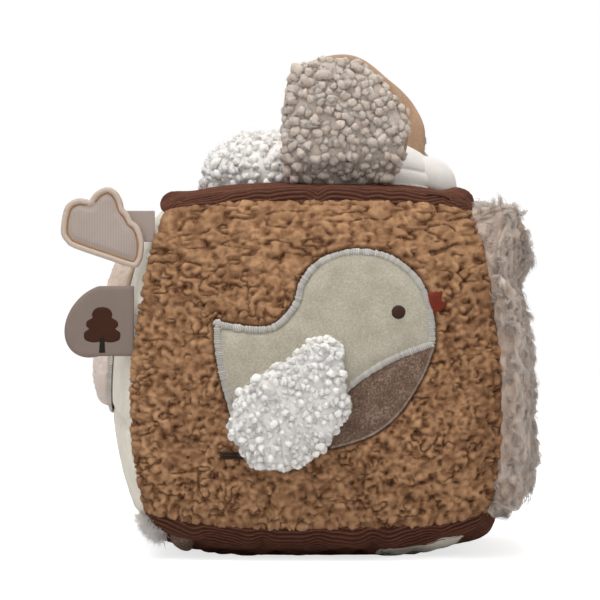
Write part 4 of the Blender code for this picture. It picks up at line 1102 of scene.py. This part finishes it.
# Wing: a white curly flap, hung from its upper corner over the bird
wingShape = {"width": 47.2, "length": 51.4, "root": (4.2, 87.6), "rootReach": -6.0, "padLow": 4.1, "backLow": 2.5,
             "padInset": 1.2}
wingShares = (
    (0.0, 0.0), (-0.161, -0.03), (-0.29, -0.141), (-0.613, -0.326), (-0.75, -0.459), (-0.815, -0.722),
    (-0.734, -0.837), (-0.613, -0.985), (-0.29, -1.0), (-0.048, -0.863), (0.081, -0.689), (0.185, -0.541),
    (0.137, -0.396), (0.105, -0.089))
wingCurls = {"seed": 101, "tries": 9000, "spacing": 1.9, "size": 1.0, "thick": 1.6, "turns": (0.2, 0.5), "rise": -0.9,
             "tilt": 0.4, "lumpy": 0.5, "fuzz": 13500, "fuzzLength": 1.3}
wingLine = leftAbout(smoothCurve(sized(wingShares, wingShape["width"], wingShape["length"], wingShape["root"]), 6))
sherpaPad("wing_sherpa", wingLine - lineNormals(wingLine) * wingShape["padInset"], onPanel("front"), 1.0,
          wingShape["padLow"], 2.2, 3.4, wingCurls, whiteCurl, ("wing_pile",),
          thinTowards(wingShape["root"][1], wingShape["rootReach"]), "wing")
puffed("wing_velour_back", wingLine, onPanel("front"), 1.2, wingShape["backLow"], 0.6, 0.0, 3.0, creamVelour,
       ("wing_backing",), 103, body="wing")
print("wing made")


# Head: a curly crown, a velour face and muzzle, embroidered eyes and nose
onTop = onPanel("top")
crownShape = {"outline": ((-18.0, 0.0), 28.0, 29.0), "low": 0.3, "edge": 6.0, "rise": 14.5}
crownCurls = {"seed": 111, "tries": 14000, "spacing": 2.3, "size": 1.2, "thick": 1.9, "turns": (0.2, 0.55),
              "rise": -1.2, "tilt": 0.5, "lumpy": 0.6, "fuzz": 13500, "fuzzLength": 1.6}
sherpaPad("crown_sherpa", ovalLine(*crownShape["outline"], 1.0), onTop, 1.5, crownShape["low"], crownShape["edge"],
          crownShape["rise"], crownCurls, whiteCurl, ("head_crown",))


def stuffedPad(name, line, place, low, profile, rings, material, replaces, seed, wrinkle, spacing=0.9, extra=None,
               body="block"):
    # a pad with rounded sides: the profile gives the outline's share and the height, from its foot to its middle
    line = evenly(leftAbout(line), spacing)
    middle = line.mean(0)
    scale = (20, 1)  # a share of the outline counts as 20 mm where the rings are spaced
    steps = smoothCurve(np.asarray(profile) * scale, 10, closed=False)
    steps = evenly(steps, np.linalg.norm(np.diff(steps, axis=0), axis=1).sum() / rings, closed=False) / scale
    steps = steps[steps[:, 0] > 0.02]
    share, height = steps[:, :1], steps[:, 1:]
    flat = middle + (line - middle)[None, :, :] * share[..., None]
    lift = low + height * np.ones((1, len(line)))
    folds = softNoise(flat[..., 0], flat[..., 1] + 1.4 * lift, 6, seed, 2) - 0.5
    lift = lift + wrinkle * folds * np.minimum(height / 2, 1)
    if extra is not None:
        lift = lift + extra(flat, lift)
    count = len(line)
    points = place(np.concatenate([middle[None], flat.reshape(-1, 2), middle[None]]),
                   np.concatenate([[low], lift.ravel(), [lift[-1].mean()]]))
    index = 1 + np.arange(flat.shape[0] * count).reshape(flat.shape[0], count)
    ahead = np.roll(index, -1, 1)
    walls = stacked(index[:-1], ahead[:-1], ahead[1:], index[1:]).reshape(-1, 4)
    last = np.full(count, len(points) - 1)
    caps = np.concatenate([stacked(ahead[0], index[0], 0 * last), stacked(index[-1], ahead[-1], last)])
    tint = np.concatenate([[0.5], (0.40 + 0.3 * flatNoise(flat, 5, seed + 3, 2)).ravel(), [0.5]])
    makeMesh(name, points, [walls, caps], material, tint, replaces, body)


headShape = {"face": ((12.5, 0.0), 37.0, 29.0), "muzzle": ((45.5, 0.0), 11.5, 15.0), "low": 0.3,
             "eyeAt": (19.0, 15.0), "eyeSize": (2.5, 1.7), "eyeHeight": 17.0, "nose": ((50.0, 0.0), 1.8, 3.1),
             "noseHeight": 12.8, "edging": 2.2, "edgingOut": 1.6}
faceProfile = ((0.97, 0.0), (1.0, 1.2), (1.015, 3.4), (1.0, 5.6), (0.965, 6.6), (0.975, 7.6), (0.96, 9.8), (0.90, 12.6),
               (0.78, 15.4), (0.60, 17.8), (0.40, 19.0), (0.20, 19.5), (0.0, 19.6))
muzzleProfile = ((0.90, 0.0), (0.98, 1.5), (1.01, 4.0), (1.0, 7.0), (0.94, 9.6), (0.82, 11.8), (0.62, 13.3),
                 (0.35, 14.0), (0.0, 14.1))


def makeFace():
    s = headShape
    face, muzzle = ovalLine(*s["face"], 1.0), ovalLine(*s["muzzle"], 1.0)
    stuffedPad("face_velour", face, onTop, s["low"], faceProfile, 64, faceVelour, ("head_face",), 121, 1.1)
    stuffedPad("muzzle_velour", muzzle, onTop, s["low"], muzzleProfile, 40, faceVelour, ("head_muzzle",), 123, 0.9, 0.6)
    for name, side in (("front", -1), ("rear", 1)):
        run = face[(face[:, 1] * side > 15.0) & (face[:, 0] > 12.0)]
        run = run[np.argsort(run[:, 0])]
        satinBand("face_edge_" + name, run + (0, side * s["edgingOut"]), s["edging"], 1.2, s["low"], onTop, greyThread,
                  ("head_edging_" + name,), closed=False)
        eye = ovalLine((s["eyeAt"][0], side * s["eyeAt"][1]), *s["eyeSize"], 0.4)
        embroidered("head_satin_eye_" + name, eye, onPanel("top", s["eyeHeight"]), 0.2, 1.6, 0, brownThread,
                    ("head_eye_" + name,))
    embroidered("head_satin_nose", ovalLine(*s["nose"], 0.4), onPanel("top", s["noseHeight"]), -0.4, 1.8, 90,
                brownThread, ("head_nose",))


makeFace()
print("head made")


# Ears: curly outside, batting within, and a smooth tan lining towards the head that shows along the upper edge
earShares = (
    (-0.46, 0.06), (-0.50, 0.32), (-0.49, 0.60), (-0.45, 0.82), (-0.34, 0.93), (-0.10, 1.0), (0.12, 0.97),
    (0.34, 0.80), (0.47, 0.60), (0.50, 0.42), (0.46, 0.22), (0.36, 0.06), (0.18, 0.01), (0.0, 0.0), (-0.22, 0.005),
    (-0.38, 0.02))
earShape = {"width": 50.0, "height": 52.5, "planeY": 39.0, "edge": 1.4, "rise": 6.5, "rootReach": 12.0,
            "inset": 1.3, "liningShows": 1.4, "gap": 0.15, "foldDepth": 1.9}
earCurls = {"tries": 16000, "spacing": 2.6, "size": 1.5, "thick": 2.0, "turns": (0.2, 0.65), "rise": -0.9,
            "tilt": 0.6, "lumpy": 0.7, "fuzz": 13500, "fuzzLength": 1.6}
liningProfile = ((0.93, 0.0), (1.0, 0.7), (0.985, 1.5), (0.93, 2.2), (0.80, 2.9), (0.6, 3.5), (0.3, 3.9), (0.0, 4.0))


def upright(y, side):  # stands flat points up at y, facing the front when side is 1 and the back when it is -1
    return lambda flat, lift: stacked(flat[:, 0], y - side * lift, flat[:, 1]) * mm


def boxMiddle(node, *axes):
    low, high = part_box(node)
    return tuple((low[k] + high[k]) / 2 / mm for k in axes)


def makeEar(name, side, seed):
    middle, root = boxMiddle(name + "_curl", 0)[0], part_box(name + "_curl")[0].z / mm
    line = leftAbout(smoothCurve(sized(earShares, earShape["width"], earShape["height"], (middle, root)), 6))
    normals = lineNormals(line)
    upperRight = smoothStep(0.55, 0.9, normals @ (0.62, 0.78))[:, None]
    inner = line - normals * (earShape["inset"] + earShape["liningShows"] * upperRight)
    planeY, gap = side * earShape["planeY"], earShape["gap"]

    def hollow(flat, lift):  # the lining dips along a fold near one edge
        x, z = flat[..., 0] - middle, flat[..., 1] - root
        fold = np.exp(-((x - 17 + 0.12 * (z - 25)) / 3.2) ** 2)
        return -earShape["foldDepth"] * fold * smoothStep(0.2, 2.5, lift) * smoothStep(8, 20, z) * smoothStep(48, 34, z)

    sherpaPad(name + "_sherpa", inner, upright(planeY, -side), 1.4, gap, earShape["edge"], earShape["rise"],
              dict(earCurls, seed=seed), greyCurl, (name + "_curl",), thinTowards(root, earShape["rootReach"]), name)
    stuffedPad(name + "_velour", line + normals * 0.5 * upperRight, upright(planeY, side), gap, liningProfile, 30,
               tanVelour, (name + "_lining",), seed + 5, 0.5, 0.9, hollow, name)


makeEar("front_ear", -1, 131)
makeEar("rear_ear", 1, 141)
print("ears made")


# Cloud tag: two ribbon covers with a padded rim, a stitched line inside it, on a folded ribbon
cloudShape = {"width": 32.0, "height": 31.2, "rim": 2.1, "line": 1.0, "spacing": 0.45, "ribbonThickness": 0.6}
cloudShares = (
    (-0.50, -0.05), (-0.461, 0.225), (-0.379, 0.328), (-0.268, 0.364), (-0.152, 0.342),
    (-0.09, 0.43), (-0.001, 0.487), (0.088, 0.50), (0.177, 0.445), (0.234, 0.344), (0.259, 0.239),
    (0.323, 0.17), (0.359, 0.087), (0.423, 0.038), (0.471, -0.05), (0.50, -0.179), (0.495, -0.307),
    (0.463, -0.427), (0.373, -0.494), (0.035, -0.386), (-0.34, -0.252), (-0.438, -0.179))
cloudCorners = (4, 10, 12)


def paintFaces(piece, material, chosen):  # gives a second material to the chosen faces
    piece.data.materials.append(material)
    piece.data.polygons.foreach_set("material_index", np.asarray(chosen, np.int32))


def makeCloudCover(name, line, y, side):
    rim = cloudShape["rim"]
    flat, triangles = fillLine(evenly(line, cloudShape["spacing"]), cloudShape["spacing"])
    apart = edgeDistance(flat, line)
    across = np.clip(apart / rim, 0, 1)
    tube = 1.0 * np.sqrt(np.clip(1 - (2 * across - 1) ** 2, 0, 1))
    face = 0.75 * smoothStep(rim + 0.3, rim + 3.0, apart) + 0.10
    cover, _, faces = cutPiece("cloud_cover_" + name, flat, triangles, upright(y, side), 0.0,
                               0.4 + np.where(apart < rim, tube, face), ribbedRibbon,
                               0.5 + 0.2 * flatNoise(flat, 5, 151, 2), ("cloud_" + name,), "cloud_tag")
    onRim = [apart[triangles].mean(1) < rim + 0.1] * 2 + [np.ones(len(faces[2]), bool)]
    paintFaces(cover, rimSatin, np.concatenate(onRim))
    declareCloth(cover, line)
    centre = line - lineNormals(line) * (rim + 0.15)
    centre = np.mean([np.roll(centre, k, 0) for k in range(-4, 5)], 0)
    centre = centre[edgeDistance(centre, line) > rim - 0.15]
    satinBand("cloud_line_" + name, centre, cloudShape["line"], 0.5, 0.0, upright(y - side * 0.4, side), tanThread,
              ("cloud_stitching",) if side > 0 else (), satin["linePitch"], body="cloud_tag")


def makeCloudTag():
    middle = np.asarray(boxMiddle("cloud_front", 0, 2))
    line = smoothCurve(sized(cloudShares, cloudShape["width"], cloudShape["height"], middle), 8, corners=cloudCorners)
    line = leftAbout(line)
    line += middle - (line.min(0) + line.max(0)) / 2
    makeCloudCover("front", line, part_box("cloud_front")[0].y / mm + 1.0, 1)
    makeCloudCover("back", line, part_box("cloud_back")[1].y / mm - 1.0, -1)
    low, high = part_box("cloud_ribbon")
    corners = np.asarray([(low.x, low.z), (high.x, low.z), (high.x, high.z), (low.x, high.z)]) / mm
    flat, triangles = fillLine(evenly(corners, 0.6), 0.6)
    wave = 0.25 * np.sin((flat[:, 0] - corners[0, 0]) * 0.5)
    half = cloudShape["ribbonThickness"] / 2
    ribbon = cutPiece("cloud_ribbon_band", flat, triangles, upright(boxMiddle("cloud_ribbon", 1)[0], 1), wave - half,
                      wave + half, ribbedRibbon, 0.4, ("cloud_ribbon",), "cloud_tag")[0]
    declareCloth(ribbon, corners)
    return line


cloudLine = makeCloudTag()


# Tree tag: brushed twill tape folded over, with a plain tree printed on it
treeShape = {"crownSize": (13.2, 13.6), "trunkSize": (2.4, 6.4), "trunkTuck": 2.4, "foot": (-83.0, 80.2),
             "halfHeight": 13.5, "droop": 4.0, "spacing": 0.6}
tierShares = ((0.0, 1.0), (-0.20, 0.95), (-0.30, 0.80), (-0.28, 0.70), (-0.44, 0.60), (-0.46, 0.46), (-0.38, 0.38),
              (-0.52, 0.28), (-0.50, 0.08), (-0.26, 0.0), (0.0, 0.03), (0.26, 0.0), (0.50, 0.08), (0.52, 0.28),
              (0.38, 0.38), (0.46, 0.46), (0.44, 0.60), (0.28, 0.70), (0.30, 0.80), (0.20, 0.95))
trunkShares = ((-0.5, 0.0), (0.5, 0.0), (0.34, 1.0), (-0.34, 1.0))
treePrint = clothMaterial("treePrintInk", "taupe_ribbon", "#240f04", "#351804", "#47240d", 0.8, 0.0, 0.3, 0.03, 6.0,
                          0.5, ribs=(0.6, 48.0, 0.25))
trunkPrint = clothMaterial("trunkPrintInk", "taupe_ribbon", "#110805", "#1b0f09", "#291812", 0.8, 0.0, 0.3, 0.03, 6.0,
                           0.5, ribs=(0.6, 48.0, 0.25))
tagEdge = clothMaterial("tagEdgePolyester", "taupe_ribbon", "#3c302b", "#4f423c", "#64564f", 0.7, 0.1, 0.3, 0.03, 6.0,
                        0.4)


def makeTreeTag():
    s = treeShape
    low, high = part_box("tree_tag_front")
    x0, x1, z1 = low.x / mm, high.x / mm, high.z / mm
    half, length = s["halfHeight"], (x1 - x0) / 2
    turn = np.linspace(math.pi / 2, 3 * math.pi / 2, 60)
    bend = stacked(x0 + length + length * np.cos(turn), z1 - half + half * np.sin(turn) + s["droop"] * np.cos(turn))
    line = leftAbout(np.concatenate([bend, [(x1, z1 - 2 * half), (x1, z1)]]))
    middle = (high.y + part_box("tree_tag_back")[0].y) / 2 / mm
    for name, side in (("front", 1), ("back", -1)):
        flat, triangles = fillLine(evenly(line, s["spacing"]), s["spacing"])
        wave = 0.18 * (flatNoise(flat, 9, 161) - 0.5)
        thin = smoothStep(-0.4, 1.4, edgeDistance(flat, line))
        ply, _, faces = cutPiece("tree_tag_twill_" + name, flat, triangles, upright(middle, side), 0.12,
                                 0.25 + 0.55 * thin + wave * thin, twillTape, 0.5 + 0.15 * flatNoise(flat, 5, 163, 2),
                                 ("tree_tag_" + name,), "tree_tag")
        paintFaces(ply, tagEdge, [0] * (2 * len(triangles)) + [1] * len(faces[2]))
        declareCloth(ply, line)
    crownFoot = (s["foot"][0], s["foot"][1] + s["trunkSize"][1] - s["trunkTuck"])
    crown = leftAbout(smoothCurve(sized(tierShares, *s["crownSize"], crownFoot), 6))
    trunk = sized(trunkShares, *s["trunkSize"], s["foot"])
    for name, outline, material, level in (("crown", crown, treePrint, 0.86), ("trunk", trunk, trunkPrint, 0.90)):
        flat, triangles = fillLine(evenly(outline, s["spacing"]), 0.8)
        cutPiece("tree_print_" + name, flat, triangles, upright(middle, 1), 0.3, level, material, 0.5, (), "tree_tag")


makeTreeTag()
print("tags made")


# Left side: a padded mushroom, a tan cap over a blush stem with a stitched edge
capShares = (
    (-1.0, 0.10), (-0.93, 0.42), (-0.68, 0.76), (-0.34, 0.95), (0.0, 1.0), (0.34, 0.95), (0.68, 0.76), (0.93, 0.42),
    (1.0, 0.10), (0.88, 0.0), (0.45, 0.03), (0.0, 0.04), (-0.45, 0.03), (-0.88, 0.0))
mushroom = {"capSize": (40.0, 36.0), "capFoot": (0.0, 97.5), "stem": ((0.0, 75.5), 21.0, 18.0), "low": 0.5,
            "nubHeight": 0.75, "edging": 2.6, "edgingOut": 1.5}
tanFleece = clothMaterial("tanFleecePolyester", "tan_velour", "#ae9787", "#d0bcac", "#e6d8cc", 0.9, 0.3, 0.5, 0.10,
                          5.0, 0.4)
capPile = {"cell": 0.4, "spacing": 1.7, "length": 3.0, "radius": 1.0, "lift": 0.7, "bend": 0.3, "stray": 1.2,
           "steps": 10, "softening": 1, "seed": 171}
capProfile = ((0.93, 0.0), (1.0, 1.2), (0.99, 2.4), (0.94, 3.8), (0.82, 5.2), (0.6, 6.4), (0.3, 7.0), (0.0, 7.2))


def makeMushroom():
    s = mushroom
    onLeft = onPanel("left")
    cap = leftAbout(smoothCurve(sized(capShares, *s["capSize"], s["capFoot"]), 6))
    stem = ovalLine(*s["stem"], 1.0)
    nubs = pileField((-50.0, 40.0), (50.0, 150.0), capPile, lambda flat: np.zeros(len(flat)),
                     lambda flat: np.ones(len(flat)))

    def nubbly(flat, lift):
        return s["nubHeight"] * nubs(flat[..., 0], flat[..., 1]) * smoothStep(0.5, 2.5, lift) - 0.6

    for name, line, rings, material, node, seed in (
            ("mushroom_cap_fleece", cap, 60, tanFleece, "mushroom_cap", 173),
            ("mushroom_stem_pile", stem, 50, blushPile, "mushroom_stem", 177)):
        stuffedPad(name, line, onLeft, s["low"], capProfile, rings, material, (node,), seed, 0.3, 0.6, nubbly)
    around = leftAbout(stem)
    around = around + lineNormals(around) * s["edgingOut"]
    satinBand("mushroom_satin_edge", around, s["edging"], 1.5, 0.3, onLeft, greyThread, ("mushroom_edging",),
              satin["edgePitch"])


makeMushroom()


# Under the block: a sewn patch, and a velvet tab and a tuft caught beneath its front left corner
tuft = {"strands": 1300, "length": 3.6, "lean": (-0.3, -0.25, -0.25), "seed": 185}


def boxOval(node, spacing):
    low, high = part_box(node)
    return ovalLine(boxMiddle(node, 0, 1), (high.x - low.x) / 2 / mm, (high.y - low.y) / 2 / mm, spacing)


def makeBasePieces():
    under = onPanel("bottom")
    patch = boxOval("base_patch", 1.0)
    flat, triangles = fillLine(patch, 1.0)
    made = cutPiece("base_patch_velour", flat, triangles, under, 0.3, 0.9 + 0.15 * flatNoise(flat, 4, 181), leftVelour,
                    0.5, ("base_patch",))[0]
    declareCloth(made, patch)
    satinBand("base_patch_edge", patch + lineNormals(patch) * 1.4, 2.5, 0.8, 0.2, under, greyThread,
              ("base_patch_edging",), satin["edgePitch"])
    for name, node, material, rise in (("velvet_tab_loop", "velvet_tab", taupeVelour, 3.8),
                                       ("tuft_core", "tail_tuft", longPlush, 3.0)):
        line = boxOval(node, 0.5)
        flat, triangles = fillLine(line, 0.6)
        lift = 0.8 + rise * dome(domeShare(flat, line))
        made, points, faces = cutPiece(name, flat, triangles, under, 0.3, lift, material, 0.5, (node,))
    rng = np.random.default_rng(tuft["seed"])  # the tuft's core was made last
    places, ups = scatter(points, faces[0], tuft["strands"], rng)
    heads = unit(0.4 * ups + np.asarray(tuft["lean"]) + 0.25 * rng.normal(size=ups.shape))
    lengths = tuft["length"] * mm * rng.uniform(0.5, 1.1, len(places))
    lines = aboveFloor(bentLines(places, heads, 0.3 * rng.normal(size=ups.shape), lengths, 5), 0.0005)
    strands("tuft_strands", lines, 0.08, ups, whiteCurl, rng.uniform(0.2, 0.8, len(places)), slot="long_pile_fur")


makeBasePieces()
print("left side and base pieces made")


# What lies inside: filling and batting, crinkle film, and the rattle
def fluffed(node, body):
    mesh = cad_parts[node].data
    points, normals = readVertices(mesh, "co"), readVertices(mesh, "normal")
    lumps = softNoise(points[:, 0] / (6 * mm) + points[:, 2] / (7 * mm), points[:, 1] / (6 * mm), 1, 191, 2)
    points = points - normals * (0.35 * mm * (0.3 + 0.7 * lumps))[:, None]
    groups = {}
    for polygon in mesh.polygons:
        groups.setdefault(len(polygon.vertices), []).append(tuple(polygon.vertices))
    groups = [np.asarray(group) for group in groups.values()]
    makeMesh(node + "_fibre", points, groups, fibreFill, 0.3 + 0.5 * lumps, (node,), body)


for node, body in (("filling_lower", "block"), ("filling_upper", "block"), ("head_batting", "block"),
                   ("front_ear_batting", "front_ear"), ("rear_ear_batting", "rear_ear")):
    fluffed(node, body)


def plainMaterial(name, colour, roughness, transmission=0.0):
    tree, shader, place = startMaterial(name)
    cloud = addNode(tree, "ShaderNodeTexNoise", {"Vector": place, "Scale": 1 / (4 * mm), "Detail": 3.0})
    ramp = addNode(tree, "ShaderNodeValToRGB", {"Fac": cloud.outputs["Fac"]})
    ramp.color_ramp.elements[0].color = [c * 0.9 for c in linearColour(colour)[:3]] + [1.0]
    ramp.color_ramp.elements[1].color = linearColour(colour)
    relief = addNode(tree, "ShaderNodeBump", {"Height": cloud.outputs["Fac"], "Distance": 0.05 * mm, "Strength": 0.4})
    return finishMaterial(name, shader, ramp, relief, {"Roughness": roughness, "IOR": 1.49,
                                                       "Transmission Weight": transmission})


rattlePlastic = plainMaterial("polypropyleneMoulded", "#e6e5df", 0.4)  # moulded capsule and ball, waxy and even
crinkleFilm = plainMaterial("crinkleFilmPolyester", "#dfe6ea", 0.2, 0.6)  # thin clear film that crackles when squeezed
slots[crinkleFilm.name] = "crinkle_film"
seamThread = clothMaterial("seamThreadPolyester", None, "#b5ab98", "#d2cab8", "#e8e2d2", 0.6, 0.1, 0.2, 0.02, 3.0, 0.5)
for node, material in (("rattle_shell_lower", rattlePlastic), ("rattle_shell_upper", rattlePlastic),
                       ("rattle_ball", rattlePlastic), ("seam_thread", seamThread)):
    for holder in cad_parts[node].material_slots:
        holder.material = material


def makeFilm(name, node, line, place, low, body):
    flat, triangles = fillLine(evenly(line, 1.0), 1.0)
    crackle = low + 0.12 * np.abs(flatNoise(flat, 3, 195, 2) - 0.5)
    made = cutPiece(name, flat, triangles, place, crackle, crackle + 0.08, crinkleFilm, None, (node,), body)[0]
    declareCloth(made, line)


makeFilm("wing_crinkle_film", "wing_film", wingLine - lineNormals(wingLine) * 1.6, onPanel("front"), 3.5, "wing")
makeFilm("cloud_crinkle_film", "cloud_film", cloudLine - lineNormals(cloudLine) * 1.2,
         upright(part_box("cloud_film")[0].y / mm + 0.2, 1), 0.0, "cloud_tag")
print("inside pieces made")


# Camera, light and floor

view = {"x": -6.93, "height": 100.5, "distance": 1050.0, "seamY": -64.0, "frameWidth": 231.0}
lights = {  # place in metres, size in metres, power in watts
    "overhead_softbox": ((-0.15, -0.45, 1.25), 0.9, 12.0),
    "front_softbox": ((-0.6, -1.4, 0.85), 1.0, 7.0),
    "right_softbox": ((1.1, -0.6, 0.5), 0.8, 2.5),
    "back_softbox": ((0.1, 1.1, 0.9), 0.8, 3.5),
}
lightsAimAt = (0, 0, 0.09)
studio = {"seenSky": 1.0, "unseenSky": 0.33, "paper": "#e8e8e8", "paperGlow": 0.72, "floorSize": 6.0,
          "floorDrop": 0.0002}

camera = bpy.data.cameras.new("camera")
camera.sensor_width = 36.0
camera.lens = camera.sensor_width * view["distance"] / view["frameWidth"]
cameraObject = addObject("camera", camera)
cameraObject.location = (view["x"] * mm, (view["seamY"] - view["distance"]) * mm, view["height"] * mm)
cameraObject.rotation_euler = (math.radians(90), 0, 0)
bpy.context.scene.camera = cameraObject

for name, (place, size, power) in lights.items():
    lamp = bpy.data.lights.new(name, "AREA")
    lamp.shape, lamp.size, lamp.energy = "SQUARE", size, power
    lampObject = addObject(name, lamp)
    lampObject.location = place
    lampObject.rotation_euler = (Vector(lightsAimAt) - Vector(place)).to_track_quat("-Z", "Y").to_euler()

world = bpy.data.worlds.new("studio")
bpy.context.scene.world = world
world.use_nodes = True
sky = world.node_tree
rays = addNode(sky, "ShaderNodeLightPath").outputs
seen = addNode(sky, "ShaderNodeMath", {0: rays["Is Camera Ray"], 1: rays["Is Glossy Ray"]}, operation="MAXIMUM")
seen = addNode(sky, "ShaderNodeMath", {0: seen.outputs[0], 1: rays["Is Transmission Ray"]}, operation="MAXIMUM")
strength = addNode(sky, "ShaderNodeMix", {"Factor": seen.outputs[0], "A": studio["unseenSky"], "B": studio["seenSky"]})
sky.links.new(strength.outputs["Result"], sky.nodes["Background"].inputs["Strength"])
sky.nodes["Background"].inputs["Color"].default_value = (1, 1, 1, 1)

paper = bpy.data.materials.new("backdropPaper")  # matt white paper, seen as white and dimmed only by the shadow
paper.use_nodes = True
tree = paper.node_tree
rays = addNode(tree, "ShaderNodeLightPath").outputs
matt = addNode(tree, "ShaderNodeBsdfDiffuse", {"Color": linearColour(studio["paper"])})
glow = addNode(tree, "ShaderNodeEmission", {"Color": (1, 1, 1, 1), "Strength": studio["paperGlow"]})
both = addNode(tree, "ShaderNodeAddShader", {0: matt.outputs[0], 1: glow.outputs[0]})
shown = addNode(tree, "ShaderNodeMixShader", {0: rays["Is Camera Ray"], 1: matt.outputs[0], 2: both.outputs[0]})
tree.links.new(shown.outputs[0], tree.nodes["Material Output"].inputs["Surface"])
bpy.ops.mesh.primitive_plane_add(size=studio["floorSize"], location=(0, 0, -studio["floorDrop"]))
floor = bpy.context.object
floor.name = "paper_floor"
floor.data.materials.append(paper)

bpy.context.scene.view_settings.view_transform = "Standard"
print("camera, light and floor made")
